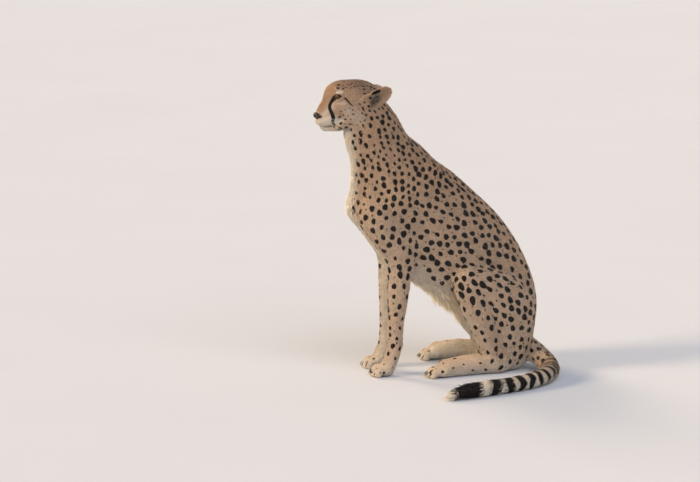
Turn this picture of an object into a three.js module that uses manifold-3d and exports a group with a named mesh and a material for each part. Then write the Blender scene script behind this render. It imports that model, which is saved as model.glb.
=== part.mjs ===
// A cheetah (Acinonyx jubatus) sitting upright, as a life-size still model.
//
// Frame: millimetres, +Z up, the floor at Z = 0. The animal faces -X and its left side is at -Y. Its haunches, hind
// feet, forepaws and tail all rest on the floor, on small flats cut at one level.
//
// The outer form is the animal's outline to the tips of its short coat. It is a blended field: the trunk, neck, tail
// and limbs are swept along smooth lines of stations, the head and the muscle masses are ellipsoids, and each joins
// the rest with a soft fillet. The field is faceted once for each body part and parted with thin plane cuts.

import * as THREE from "three";
import { mergeVertices } from "three/addons/utils/BufferGeometryUtils.js";
import Module from "manifold-3d";

const wasm = await Module();
wasm.setup();

// ---------------------------------------------------------------------------------------------- driving dimensions

const CUT_GAP = 0.4; // between two parts that meet
const SLIVER = 0.1; // detail smaller than this, which a cut may leave, is cleaned away
const SIDES = { left: -1, right: 1 };

// Facet sizes: coarse on the trunk, finer where the form is small.
const TRUNK_CELL = [36, 28, 36];
const HAUNCH_CELL = [30, 23, 30];
const NECK_CELL = [30, 25, 30];
const LEG_CELL = [18, 16, 36];
const TAIL_CELL = [20, 20, 16];
const FOOT_CELL = [20, 13, 14.5];
const PAW_CELL = [14, 12, 14];
const HEAD_CELL = [14.5, 13, 14];

// Facets are joined where the surface strays from them by less than this: more on the body, less on the face.
const BODY_FLAT = 3.2;
const LIMB_FLAT = 1.8;
const FACE_FLAT = 1.1;

// The line of the trunk from the neck to the rump, at mid-body. r is half the depth, w the width as a share of it.
const TRUNK = [
  { x: -300, z: 902, r: 78, w: 0.84 }, // inside the back of the head
  { x: -274, z: 832, r: 102, w: 0.72 }, // throat
  { x: -241, z: 752, r: 114, w: 0.68 }, // middle of the neck
  { x: -203, z: 671, r: 150, w: 0.62 }, // base of the neck
  { x: -174, z: 604, r: 177, w: 0.58 }, // shoulders
  { x: -118, z: 543, r: 190, w: 0.56 }, // deepest part of the chest
  { x: -55, z: 482, r: 192, w: 0.56 }, // behind the elbows
  { x: 13, z: 420, r: 190, w: 0.55 }, // last ribs
  { x: 72, z: 361, r: 178, w: 0.53 }, // belly
  { x: 119, z: 300, r: 164, w: 0.52 }, // loins
  { x: 156, z: 234, r: 149, w: 0.55 }, // hips
  { x: 181, z: 170, r: 121, w: 0.65 }, // rump
  { x: 184, z: 91, r: 95, w: 0.76 }, // seat
];
const TRUNK_BLEND = 30;
const BREAST = { at: [-318, 0, 574], size: [50, 50, 60], lean: -20 };

// The foreleg, from the shoulder blade to the wrist. y is the distance from mid-body.
const SHOULDER_BLADE = [
  { x: -92, y: 46, z: 684, r: 49, w: 0.68 },
  { x: -186, y: 64, z: 612, r: 62, w: 0.66 },
  { x: -268, y: 74, z: 556, r: 64, w: 0.7 },
];
const UPPER_ARM = [
  { x: -268, y: 74, z: 556, r: 64, w: 0.7 },
  { x: -224, y: 80, z: 482, r: 66, w: 0.62 },
  { x: -192, y: 76, z: 418, r: 46, w: 0.7 },
];
const TRICEPS = { at: [-186, 82, 492], size: [50, 32, 76], lean: 14 };
const FOREARM = [
  { x: -196, y: 75, z: 440, r: 47, w: 0.74 },
  { x: -196, y: 72, z: 350, r: 43, w: 0.74 },
  { x: -201, y: 69, z: 262, r: 37, w: 0.74 },
  { x: -207, y: 66, z: 180, r: 29, w: 0.8 },
  { x: -209, y: 65, z: 118, r: 27, w: 0.9 }, // wrist
  { x: -217, y: 66, z: 74, r: 26, w: 1 },
  { x: -238, y: 68, z: 25, r: 27, w: 1.1 }, // ball of the paw
];
const ARM_BLEND = 34;
const WRIST_PAD = { at: [-187, 66, 104], size: [9, 7, 8] };

// The hind leg, folded: the thigh lies along the flank, the shank slopes back and the long foot is flat on the floor.
const THIGH = [
  { x: 44, y: 106, z: 318, r: 60, w: 0.78 }, // knee
  { x: 112, y: 104, z: 288, r: 78, w: 0.72 },
  { x: 172, y: 92, z: 222, r: 100, w: 0.68 },
  { x: 188, y: 77, z: 146, r: 89, w: 0.74 },
  { x: 187, y: 63, z: 81, r: 85, w: 0.73 }, // seat
];
const SHANK = [
  { x: 40, y: 116, z: 312, r: 60, w: 0.66 }, // knee
  { x: 62, y: 122, z: 240, r: 56, w: 0.62 },
  { x: 92, y: 120, z: 160, r: 47, w: 0.6 },
  { x: 116, y: 114, z: 92, r: 38, w: 0.64 },
  { x: 138, y: 108, z: 42, r: 36, w: 0.7 }, // hock
];
const HIND_FOOT = [
  { x: 152, y: 104, z: 33, r: 34, w: 0.74 }, // heel
  { x: 92, y: 110, z: 36, r: 36, w: 0.72 },
  { x: 20, y: 120, z: 35, r: 35, w: 0.78 },
  { x: -52, y: 130, z: 30, r: 31, w: 1.06 }, // ball of the foot
];
const THIGH_BLEND = 26;
const FOOT_BLEND = 20;
const RIGHT_FOOT = { back: 40, out: 22 }; // the right foot is drawn back, and set out to the side

// Paws: four toes side by side, each a knuckle and a tip, with a claw.
const TOES = 4;
const FOREPAW = { ball: { x: -236, y: 68 }, reach: 52, spread: 54, fan: 9, height: 33, toe: 15.5 };
const HINDPAW = { ball: { x: -52, y: 130 }, reach: 56, spread: 52, fan: 7, height: 32, toe: 15.5 };
const TOE_BLEND = 9;
const MIDDLE_TOE_LEAD = 9; // how far the two middle toes reach past the outer ones
const CLAW = { length: 22, radius: 3.4, droop: 34, rise: 8 };

// The tail leaves the rump, lies on the floor and curls forward beside the left hind foot.
const TAIL = [
  { x: 212, y: -2, z: 100, r: 38 },
  { x: 268, y: -44, z: 71, r: 38 },
  { x: 300, y: -112, z: 44, r: 36 },
  { x: 305, y: -196, z: 31, r: 33 },
  { x: 276, y: -280, z: 29, r: 31 },
  { x: 204, y: -352, z: 27, r: 29 },
  { x: 112, y: -400, z: 26, r: 28 },
  { x: 20, y: -436, z: 27, r: 29.5 },
  { x: -60, y: -462, z: 26, r: 26 },
  { x: -116, y: -482, z: 16, r: 12 },
];
const TAIL_BLEND = 24;

// The head. Each mass is an ellipsoid: at its centre, its half-sizes, and its lean about Y in degrees. y is the
// distance from mid-body where the mass is one of a pair.
const CRANIUM = { at: [-334, 0, 954], size: [88, 59, 64], lean: 2 };
const FOREHEAD = { at: [-388, 0, 962], size: [57, 41, 53], lean: 0 };
const BRIDGE = [
  { x: -404, y: 0, z: 945, r: 39, w: 0.9 },
  { x: -430, y: 0, z: 925, r: 30, w: 0.92 },
  { x: -452, y: 0, z: 902, r: 22, w: 1 },
];
const MAXILLA = [
  { x: -392, y: 32, z: 932, r: 24, w: 0.8 },
  { x: -424, y: 21, z: 900, r: 25, w: 0.8 },
];
const WHISKER_PAD = { at: [-444, 15, 881], size: [29, 20, 21], lean: -12 };
const CHIN = { at: [-434, 0, 860], size: [24, 19, 16], lean: -10 };
const JAW = [
  { x: -434, y: 5, z: 860, r: 16, w: 1 },
  { x: -398, y: 18, z: 867, r: 25, w: 0.85 },
  { x: -350, y: 33, z: 890, r: 31, w: 0.72 },
];
const CHEEK = { at: [-345, 36, 914], size: [52, 27, 44], lean: 20 };
const CHEEKBONE = { at: [-384, 40, 938], size: [36, 19, 19], lean: 20 };
const BROW = { at: [-393, 36, 986], size: [27, 15, 11], lean: 20 };
const TEMPLE = { at: [-346, 38, 966], size: [46, 24, 32], lean: 0 };
const HEAD_BLEND = 20;
const FACE_BLEND = 13;

// Eyes look forward and out. The orbit is the hollow that each sits in.
const EYE = { x: -397, y: 38, z: 966, r: 16.5 };
const ORBIT = { at: [-420, 56, 966], size: [28, 18, 14], lean: 14, blend: 12 };

// Nose pad, a blunt wedge over the upper lip.
const NOSE = { at: [-466, 0, 901], size: [14, 17, 12], lean: -25 };

// Ears: cupped leaves with a rounded tip, laid back and turned out. Each grows from a low mound on the head.
const EAR_MOUND = { at: [-298, 44, 956], size: [30, 24, 26], lean: -20 };
const EAR = {
  root: [-291, 48, 955],
  along: [0.82, 0.4, 0.5], // from the root to the tip
  rightDroop: 0.34, // the right ear is laid lower
  facing: [-0.25, 0.86, -0.44], // the way the cup opens
  length: 77,
  buried: 16, // how far the leaf runs on into the head
  width: 31, // half of it, at the widest
  cup: 20,
  thickness: 9,
};

const COLOURS = {
  coat: 0xc9a171,
  paleCoat: 0xd9c4a2,
  tailEnd: 0x2b211b,
  earBack: 0x4a3a2c,
  nose: 0x1c1614,
  eye: 0x8a5a22,
  claw: 0x2c2622,
};

// -------------------------------------------------------------------------------------------------- fields of form

const REACH = 60; // farther from the surface than this, a distance is only known to be greater

const rad = (degrees) => (degrees * Math.PI) / 180;

/** The smaller of two distances, rounded over the fillet k. */
function softMin(a, b, k) {
  const h = Math.max(k - Math.abs(a - b), 0) / k;
  return Math.min(a, b) - (h * h * k) / 4;
}

const softMax = (a, b, k) => -softMin(-a, -b, k);

/** The box round some balls, each a centre and a radius. */
function boxOf(balls) {
  const box = new THREE.Box3();
  for (const [at, r] of balls) {
    box.expandByPoint(new THREE.Vector3(...at).addScalar(r));
    box.expandByPoint(new THREE.Vector3(...at).addScalar(-r));
  }
  return box;
}

/** Stations put through a Catmull-Rom curve, with a few steps between each pair. */
function smoothStations(stations, steps = 4) {
  const keys = ["x", "y", "z", "r", "w"];
  const full = stations.map((s) => ({ y: 0, w: 1, ...s }));
  const at = (i) => full[Math.min(Math.max(i, 0), full.length - 1)];
  const line = [];
  for (let i = 0; i < full.length - 1; i++) {
    for (let j = 0; j < steps; j++) {
      const t = j / steps;
      const point = {};
      for (const key of keys) {
        const [a, b, c, d] = [at(i - 1)[key], at(i)[key], at(i + 1)[key], at(i + 2)[key]];
        point[key] =
          0.5 * (2 * b + (c - a) * t + (2 * a - 5 * b + 4 * c - d) * t * t + (3 * b - a - 3 * c + d) * t ** 3);
      }
      line.push(point);
    }
  }
  line.push(full[full.length - 1]);
  return line;
}

/** A body swept along stations: round in the XZ plane, and w times as wide along Y. */
function swept(stations, blend) {
  const line = smoothStations(stations);
  const value = (x, y, z) => {
    let least = Infinity;
    for (let i = 0; i < line.length - 1; i++) {
      const [a, b] = [line[i], line[i + 1]];
      const [ux, uy, uz] = [b.x - a.x, b.y - a.y, b.z - a.z];
      const along = (x - a.x) * ux + (y - a.y) * uy + (z - a.z) * uz;
      const t = Math.min(Math.max(along / (ux * ux + uy * uy + uz * uz), 0), 1);
      const w = a.w + (b.w - a.w) * t;
      const gap = Math.hypot(x - a.x - ux * t, (y - a.y - uy * t) / w, z - a.z - uz * t);
      least = Math.min(least, gap - a.r - (b.r - a.r) * t);
    }
    return least;
  };
  return { value, blend, box: boxOf(line.map((s) => [[s.x, s.y, s.z], s.r * Math.max(s.w, 1)])) };
}

/** An ellipsoid, leaning about Y by some degrees. */
function mass({ at, size, lean = 0 }, blend) {
  const [c, s] = [Math.cos(rad(lean)), Math.sin(rad(lean))];
  const value = (x, y, z) => {
    const [dx, dy, dz] = [x - at[0], y - at[1], z - at[2]];
    const q = [c * dx - s * dz, dy, s * dx + c * dz];
    const k0 = Math.hypot(q[0] / size[0], q[1] / size[1], q[2] / size[2]);
    const k1 = Math.hypot(q[0] / size[0] ** 2, q[1] / size[1] ** 2, q[2] / size[2] ** 2);
    return k1 < 1e-9 ? -Math.min(...size) : (k0 * (k0 - 1)) / k1;
  };
  return { value, blend, box: boxOf([[at, Math.max(...size)]]) };
}

const onSide = (side, form) => ({ ...form, at: [form.at[0], side * form.at[1], form.at[2]] });
const stationsOn = (side, stations) => stations.map((s) => ({ ...s, y: side * s.y }));

/** The four toes of a paw, as short swept bodies from the ball of the paw to each tip. */
function toeLines(paw, side, back = 0, out = 0) {
  return Array.from({ length: TOES }, (_, i) => {
    const share = (i - (TOES - 1) / 2) / ((TOES - 1) / 2); // -1 on the inner toe, 1 on the outer
    const lead = Math.abs(share) < 0.5 ? MIDDLE_TOE_LEAD : 0;
    const y0 = paw.ball.y + out + (share * paw.spread) / 2.6;
    const y1 = y0 + share * paw.fan;
    const x1 = paw.ball.x - paw.reach - lead + back;
    return [
      { x: paw.ball.x - 8 + back, y: side * y0, z: paw.height * 0.62, r: paw.toe * 1.02, w: 0.72 },
      { x: (paw.ball.x + x1) / 2 - 6 + back / 2, y: side * (y0 + y1) / 2, z: paw.height * 0.66, r: paw.toe, w: 0.72 },
      { x: x1 + 13, y: side * y1, z: paw.height * 0.36, r: paw.toe * 0.92, w: 0.76 },
    ];
  });
}

const footShift = (side) => (side === SIDES.right ? RIGHT_FOOT : { back: 0, out: 0 });

/** Each part of the animal adds its forms to one list; hollows are cut out of them. */
function bodyForms() {
  const forms = [swept(TRUNK, TRUNK_BLEND), mass(BREAST, TRUNK_BLEND), swept(TAIL, TAIL_BLEND)];
  for (const side of Object.values(SIDES)) {
    const { back, out } = footShift(side);
    const foot = HIND_FOOT.map((s) => ({ ...s, x: s.x + back, y: s.y + out }));
    const shank = SHANK.map((s, i) => {
      const share = i / (SHANK.length - 1);
      return { ...s, x: s.x + 0.8 * back * share, y: s.y + out * share };
    });
    forms.push(swept(stationsOn(side, SHOULDER_BLADE), ARM_BLEND));
    forms.push(swept(stationsOn(side, UPPER_ARM), ARM_BLEND));
    forms.push(mass(onSide(side, TRICEPS), 20));
    forms.push(swept(stationsOn(side, FOREARM), 26));
    forms.push(mass(onSide(side, WRIST_PAD), 8));
    forms.push(swept(stationsOn(side, THIGH), THIGH_BLEND));
    forms.push(swept(stationsOn(side, shank), THIGH_BLEND - 8));
    forms.push(swept(stationsOn(side, foot), FOOT_BLEND));
    for (const line of toeLines(FOREPAW, side)) forms.push(swept(line, TOE_BLEND));
    for (const line of toeLines(HINDPAW, side, back, out)) forms.push(swept(line, TOE_BLEND));
  }
  return forms;
}

function headForms() {
  const forms = [mass(CRANIUM, HEAD_BLEND), mass(FOREHEAD, HEAD_BLEND), swept(BRIDGE, FACE_BLEND)];
  for (const side of Object.values(SIDES)) {
    forms.push(mass(onSide(side, TEMPLE), HEAD_BLEND));
    forms.push(mass(onSide(side, CHEEK), HEAD_BLEND));
    forms.push(mass(onSide(side, CHEEKBONE), FACE_BLEND));
    forms.push(mass(onSide(side, BROW), FACE_BLEND));
    forms.push(mass(onSide(side, EAR_MOUND), HEAD_BLEND));
    forms.push(swept(stationsOn(side, MAXILLA), FACE_BLEND));
    forms.push(mass(onSide(side, WHISKER_PAD), FACE_BLEND - 5));
    forms.push(swept(stationsOn(side, JAW), FACE_BLEND));
  }
  forms.push(mass(CHIN, FACE_BLEND - 5));
  return forms;
}

const FORMS = [...bodyForms(), ...headForms()];
const ORBITS = Object.values(SIDES).map((side) => mass(onSide(side, ORBIT), ORBIT.blend));

/** Distance from the outer surface, as far as REACH: negative inside the animal. */
function animal(x, y, z) {
  let d = REACH;
  for (const form of FORMS) {
    const { min, max } = form.box;
    if (x < min.x - REACH || x > max.x + REACH || y < min.y - REACH || y > max.y + REACH) continue;
    if (z < min.z - REACH || z > max.z + REACH) continue;
    d = softMin(d, form.value(x, y, z), form.blend);
  }
  for (const orbit of ORBITS) d = softMax(d, -orbit.value(x, y, z), orbit.blend);
  return d;
}

// ---------------------------------------------------------------------------------------------- facets from a field

/** Facets of a field inside a box, as a dual mesh: one vertex in each cell that the surface crosses. */
function facet(field, box, cell) {
  const counts = box.getSize(new THREE.Vector3()).toArray().map((v, axis) => Math.ceil(v / cell[axis]) + 1);
  const [nx, ny, nz] = counts;
  const id = (i, j, k) => (i * ny + j) * nz + k;
  const low = box.min.toArray();
  const values = new Float64Array(nx * ny * nz);
  for (let i = 0; i < nx; i++) {
    for (let j = 0; j < ny; j++) {
      for (let k = 0; k < nz; k++) {
        const atWall = [i, j, k].some((n, axis) => n === 0 || n === counts[axis] - 1);
        const place = [i, j, k].map((n, axis) => low[axis] + n * cell[axis]);
        values[id(i, j, k)] = atWall ? REACH : field(...place);
      }
    }
  }
  const corners = [0, 1, 2, 3, 4, 5, 6, 7].map((c) => [c & 1, (c >> 1) & 1, (c >> 2) & 1]);
  const vertexOf = new Map();
  const positions = [];
  for (let i = 0; i < nx - 1; i++) {
    for (let j = 0; j < ny - 1; j++) {
      for (let k = 0; k < nz - 1; k++) {
        const v = corners.map(([a, b, c]) => values[id(i + a, j + b, k + c)]);
        const inside = v.filter((q) => q < 0).length;
        if (inside === 0 || inside === 8) continue;
        const sum = [0, 0, 0];
        let crossings = 0;
        for (let p = 0; p < 8; p++) {
          for (const bit of [1, 2, 4]) {
            const q = p | bit;
            if (p === q || v[p] < 0 === v[q] < 0) continue;
            const t = v[p] / (v[p] - v[q]);
            corners[p].forEach((c, axis) => (sum[axis] += c + t * (corners[q][axis] - c)));
            crossings++;
          }
        }
        vertexOf.set(id(i, j, k), positions.length / 3);
        [i, j, k].forEach((n, axis) => positions.push(low[axis] + (n + sum[axis] / crossings) * cell[axis]));
      }
    }
  }
  settle(field, positions, Math.min(...cell));
  const faces = [];
  const quad = (turned, ...cells) => {
    const [p, q, r, s] = cells.map((n) => vertexOf.get(n));
    if (turned) faces.push(p, r, q, p, s, r);
    else faces.push(p, q, r, p, r, s);
  };
  for (let i = 0; i < nx - 1; i++) {
    for (let j = 0; j < ny - 1; j++) {
      for (let k = 0; k < nz - 1; k++) {
        const here = values[id(i, j, k)] < 0;
        if (j && k && here !== values[id(i + 1, j, k)] < 0)
          quad(!here, id(i, j - 1, k - 1), id(i, j, k - 1), id(i, j, k), id(i, j - 1, k));
        if (i && k && here !== values[id(i, j + 1, k)] < 0)
          quad(!here, id(i - 1, j, k - 1), id(i - 1, j, k), id(i, j, k), id(i, j, k - 1));
        if (i && j && here !== values[id(i, j, k + 1)] < 0)
          quad(!here, id(i - 1, j - 1, k), id(i, j - 1, k), id(i, j, k), id(i - 1, j, k));
      }
    }
  }
  const geometry = new THREE.BufferGeometry();
  geometry.setAttribute("position", new THREE.BufferAttribute(new Float32Array(positions), 3));
  geometry.setIndex(faces);
  return geometry;
}

/** Moves the vertices that lie near the surface onto it, down the field's slope. */
function settle(field, positions, cell) {
  const step = 0.5;
  for (let i = 0; i < 3 * positions.length; i += 3) {
    const at = i % positions.length;
    const [x, y, z] = positions.slice(at, at + 3);
    const f = field(x, y, z);
    if (Math.abs(f) > 0.6 * cell) continue; // a vertex on the box's own wall
    const slope = [
      field(x + step, y, z) - field(x - step, y, z),
      field(x, y + step, z) - field(x, y - step, z),
      field(x, y, z + step) - field(x, y, z - step),
    ].map((g) => g / (2 * step));
    const square = Math.max(slope[0] ** 2 + slope[1] ** 2 + slope[2] ** 2, 0.2);
    slope.forEach((g, axis) => {
      positions[at + axis] -= Math.max(-0.3 * cell, Math.min(0.3 * cell, (f * g) / square));
    });
  }
}

// ------------------------------------------------------------------------------------------------- solids and cuts

function solid(geometry) {
  const plain = geometry.clone();
  plain.deleteAttribute("normal");
  plain.deleteAttribute("uv");
  const merged = mergeVertices(plain, 1e-3);
  return new wasm.Manifold(
    new wasm.Mesh({
      numProp: 3,
      vertProperties: merged.attributes.position.array,
      triVerts: new Uint32Array(merged.index.array),
    }),
  );
}

function geometryOf(made) {
  const mesh = made.getMesh();
  const geometry = new THREE.BufferGeometry();
  geometry.setAttribute("position", new THREE.BufferAttribute(new Float32Array(mesh.vertProperties), 3));
  geometry.setIndex(new THREE.BufferAttribute(new Uint32Array(mesh.triVerts), 1));
  geometry.computeVertexNormals();
  return geometry;
}

/** A prism over an outline in the XZ plane, from y = from to y = to. grow pushes every side out. */
function prism(outline, from, to, grow = 0) {
  const points = outline.map(([x, z]) => new THREE.Vector2(x, z));
  if (THREE.ShapeUtils.area(points) < 0) points.reverse();
  const moved = points.map((p, i) => {
    const before = points[(i + points.length - 1) % points.length];
    const after = points[(i + 1) % points.length];
    const out = (a, b) => new THREE.Vector2(b.y - a.y, a.x - b.x).normalize();
    const [m, n] = [out(before, p), out(p, after)];
    const sum = m.clone().add(n);
    return p.clone().addScaledVector(sum, grow / Math.max(sum.dot(m), 0.3));
  });
  const geometry = new THREE.ExtrudeGeometry(new THREE.Shape(moved), {
    depth: to - from + 2 * grow,
    bevelEnabled: false,
  });
  geometry.rotateX(Math.PI / 2); // the outline's second axis becomes Z, and the depth runs to -Y
  geometry.translate(0, to + grow, 0);
  return solid(geometry);
}

const ABOVE_FLOOR = prism([[-700, 0], [700, 0], [700, 1300], [-700, 1300]], -700, 700);

/** The largest piece of a solid, without the slivers that a cut may leave. */
function largest(made) {
  const pieces = made.simplify(SLIVER).decompose();
  return pieces.reduce((a, b) => (a.volume() > b.volume() ? a : b));
}

// Where each part is cut from the trunk: an outline in side view, and the span across the body.
const FAR = 500;
const REGIONS = {
  head: { outline: [[-600, 1200], [-80, 1200], [-80, 1101], [-390, 838], [-600, 660]], y: [-FAR, FAR], cell: HEAD_CELL, flat: FACE_FLAT },
  neck: {
    outline: [[-600, 660], [-390, 838], [-80, 1101], [60, 856], [-362, 606], [-600, 465]],
    y: [-FAR, FAR],
    cell: NECK_CELL,
    flat: BODY_FLAT,
  },
  tail_base: { outline: [[256, 150], [420, 150], [420, -60], [256, -60]], y: [-236, -64], cell: TAIL_CELL, flat: LIMB_FLAT },
  tail_middle: { outline: [[106, 110], [420, 110], [420, -60], [106, -60]], y: [-FAR, -236], cell: TAIL_CELL, flat: LIMB_FLAT },
  tail_end: { outline: [[-300, 110], [106, 110], [106, -60], [-300, -60]], y: [-FAR, -300], cell: TAIL_CELL, flat: LIMB_FLAT },
};
const limbSpan = (side, from, to) => (side < 0 ? [-to, -from] : [from, to]);
for (const [name, side] of Object.entries(SIDES)) {
  const { back } = footShift(side);
  REGIONS[`foreleg_${name}`] = {
    outline: [[-300, 452], [-120, 396], [-120, 74], [-300, 74]],
    y: limbSpan(side, 36, 160),
    cell: LEG_CELL,
    flat: LIMB_FLAT,
  };
  REGIONS[`forepaw_${name}`] = {
    outline: [[-420, 74], [-150, 74], [-150, -60], [-420, -60]],
    y: limbSpan(side, 0, 160),
    cell: PAW_CELL,
    flat: LIMB_FLAT,
  };
  REGIONS[`haunch_${name}`] = {
    outline: [
      [-60, 420], [150, 405], [330, 300], [330, -60], [196 + back * 0.6, -60], [196 + back * 0.6, 34],
      [30 + back, 86], [-60, 86],
    ],
    y: limbSpan(side, 52, 240),
    without: "tail_base",
    cell: HAUNCH_CELL,
    flat: BODY_FLAT,
  };
  REGIONS[`hind_foot_${name}`] = {
    outline: [[-200, 86], [30 + back, 86], [196 + back * 0.6, 34], [196 + back * 0.6, -60], [-200, -60]],
    y: limbSpan(side, 52, 240),
    cell: FOOT_CELL,
    flat: LIMB_FLAT,
  };
}

const boxAround = (made, margin) => {
  const { min, max } = made.boundingBox();
  return new THREE.Box3(new THREE.Vector3(...min), new THREE.Vector3(...max)).expandByScalar(margin);
};

const WHOLE = new THREE.Box3(new THREE.Vector3(-520, -540, -30), new THREE.Vector3(370, 240, 1060));

function cutRegion(region, grow) {
  const made = prism(region.outline, region.y[0], region.y[1], grow);
  return region.without ? made.subtract(cutRegion(REGIONS[region.without], -grow)) : made;
}

/** One body part: its own facets of the animal, within its region and above the floor. */
function partOf(region) {
  const cutter = cutRegion(region, -CUT_GAP / 2);
  const box = boxAround(cutter, Math.max(...region.cell) * 2.2).intersect(WHOLE);
  const form = solid(facet(animal, box, region.cell)).simplify(region.flat);
  return largest(form.intersect(cutter).intersect(ABOVE_FLOOR));
}

function trunkSolid() {
  let made = solid(facet(animal, WHOLE, TRUNK_CELL)).simplify(BODY_FLAT).intersect(ABOVE_FLOOR);
  for (const region of Object.values(REGIONS)) made = made.subtract(cutRegion(region, CUT_GAP / 2));
  return largest(made);
}

// ------------------------------------------------------------------------------------------------ eyes, nose, claws

function eyeball(side, grow = 0) {
  const geometry = new THREE.SphereGeometry(EYE.r + grow, 10, 6);
  geometry.rotateX(Math.PI / 2);
  geometry.translate(EYE.x, side * EYE.y, EYE.z);
  return geometry;
}

function nosePad(grow = 0) {
  const geometry = new THREE.SphereGeometry(1, 10, 7);
  geometry.scale(...NOSE.size.map((v) => v + grow));
  geometry.rotateY(rad(NOSE.lean));
  geometry.translate(...NOSE.at);
  return geometry;
}

/** A cupped leaf, closed all round. */
function earLeaf(side, grow = 0) {
  const along = new THREE.Vector3(EAR.along[0], side * EAR.along[1], EAR.along[2] - (side > 0 ? EAR.rightDroop : 0)).normalize();
  const facing = new THREE.Vector3(EAR.facing[0], side * EAR.facing[1], EAR.facing[2]);
  facing.addScaledVector(along, -facing.dot(along)).normalize();
  const across = new THREE.Vector3().crossVectors(facing, along);
  const geometry = new THREE.SphereGeometry(1, 12, 8);
  geometry.rotateX(Math.PI / 2); // the poles become the root and the tip
  const points = geometry.attributes.position;
  const place = new THREE.Vector3();
  for (let i = 0; i < points.count; i++) {
    const ring = Math.hypot(points.getX(i), points.getY(i));
    const t = (points.getZ(i) + 1) / 2;
    const outline = ring ** (t < 0.5 ? 0.45 : 0.9) * (0.82 + 0.5 * t - 0.55 * t * t);
    const share = ring > 1e-6 ? (points.getX(i) / ring) * outline : 0;
    const half = ring > 1e-6 ? (points.getY(i) / ring) * Math.min(1, ring * 1.6) : 0;
    place.set(EAR.root[0], side * EAR.root[1], EAR.root[2]);
    place.addScaledVector(along, -EAR.buried - grow + t * (EAR.length + EAR.buried + 2 * grow));
    place.addScaledVector(across, share * (EAR.width + grow));
    place.addScaledVector(facing, half * (EAR.thickness / 2 + grow) + EAR.cup * share * share * (1 - 0.35 * t));
    points.setXYZ(i, place.x, place.y, place.z);
  }
  return geometry;
}

/** A claw: a blunt cone that points forward and down from its root inside the toe. */
function claw(root, grow = 0) {
  const rows = 3;
  const profile = [new THREE.Vector2(0, -grow)];
  for (let i = 0; i < rows; i++) {
    const t = i / rows;
    profile.push(new THREE.Vector2(CLAW.radius * Math.cos((t * Math.PI) / 2.1) + grow, t * CLAW.length - grow * (1 - t)));
  }
  profile.push(new THREE.Vector2(0, CLAW.length + grow));
  const geometry = new THREE.LatheGeometry(profile, 5);
  geometry.rotateX(Math.PI / 2); // the axis turns from Y to Z
  geometry.rotateY(-Math.PI / 2 - rad(CLAW.droop)); // and then forward and down
  geometry.translate(root.x, root.y, root.z + CLAW.rise);
  return geometry;
}

// ------------------------------------------------------------------------------------------------------- the model

const cheetah = new THREE.Group();
cheetah.name = "cheetah";

function material(colour, roughness) {
  return new THREE.MeshStandardMaterial({ color: colour, roughness, metalness: 0 });
}

function add(name, geometry, look) {
  const mesh = new THREE.Mesh(geometry, look);
  mesh.name = name;
  cheetah.add(mesh);
}

const solids = Object.fromEntries(Object.entries(REGIONS).map(([name, region]) => [name, partOf(region)]));
solids.trunk = trunkSolid();

const eyeLook = material(COLOURS.eye, 0.12);
const coat = material(COLOURS.coat, 0.9);
for (const [name, side] of Object.entries(SIDES)) {
  const [eyeHole, earHole] = [eyeball(side, CUT_GAP), earLeaf(side, 3 * CUT_GAP)].map(solid);
  solids.head = solids.head.subtract(eyeHole).subtract(earHole);
  solids.neck = largest(solids.neck.subtract(solid(earLeaf(side, 6 * CUT_GAP))));
  add(`eye_${name}`, eyeball(side), eyeLook);
  add(`ear_${name}`, earLeaf(side), coat);
}
solids.head = largest(solids.head.subtract(solid(nosePad(CUT_GAP))));
add("nose", nosePad(), material(COLOURS.nose, 0.45));

const clawLook = material(COLOURS.claw, 0.4);
for (const [name, side] of Object.entries(SIDES)) {
  const { back, out } = footShift(side);
  const paws = { [`forepaw_${name}`]: toeLines(FOREPAW, side), [`hind_foot_${name}`]: toeLines(HINDPAW, side, back, out) };
  for (const [paw, toes] of Object.entries(paws)) {
    toes.forEach((line, i) => {
      const root = line[line.length - 1];
      solids[paw] = solids[paw].subtract(solid(claw(root, CUT_GAP)));
      add(`claw_${paw}_${i + 1}`, claw(root), clawLook);
    });
    solids[paw] = largest(solids[paw]);
  }
}

for (const [name, made] of Object.entries(solids)) add(name, geometryOf(made), coat);

// The origin is on the floor, under the middle of the whole model's box.
const middle = new THREE.Box3().setFromObject(cheetah, true).getCenter(new THREE.Vector3());
for (const mesh of cheetah.children) mesh.position.set(-middle.x, -middle.y, 0);

export default cheetah;
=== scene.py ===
import bpy
import numpy as np
from mathutils import Matrix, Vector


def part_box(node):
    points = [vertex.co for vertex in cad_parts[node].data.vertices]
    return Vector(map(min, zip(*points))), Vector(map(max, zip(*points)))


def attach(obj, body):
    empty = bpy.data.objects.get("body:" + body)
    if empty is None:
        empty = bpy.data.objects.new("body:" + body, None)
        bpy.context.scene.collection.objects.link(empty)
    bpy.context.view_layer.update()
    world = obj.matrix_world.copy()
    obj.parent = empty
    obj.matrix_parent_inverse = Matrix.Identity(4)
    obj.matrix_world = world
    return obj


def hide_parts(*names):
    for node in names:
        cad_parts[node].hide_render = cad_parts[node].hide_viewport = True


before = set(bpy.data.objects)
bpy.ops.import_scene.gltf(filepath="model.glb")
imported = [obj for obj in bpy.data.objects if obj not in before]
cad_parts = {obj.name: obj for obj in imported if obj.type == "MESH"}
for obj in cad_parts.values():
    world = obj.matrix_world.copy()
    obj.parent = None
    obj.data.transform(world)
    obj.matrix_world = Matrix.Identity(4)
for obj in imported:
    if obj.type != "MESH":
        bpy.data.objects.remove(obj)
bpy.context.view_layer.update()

# --------------------------------------------------------------------------------- the animal's own frame
# The cheetah is worked out in millimetres in its own frame: it faces -X, its left side is at -Y, and the
# floor is at Z = 0. The left eye's centre says where that frame lies in the room.

EYE = {"at": (-397, 38, 966), "r": 16.5}
SIDES = (("left", -1), ("right", 1))


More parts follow.
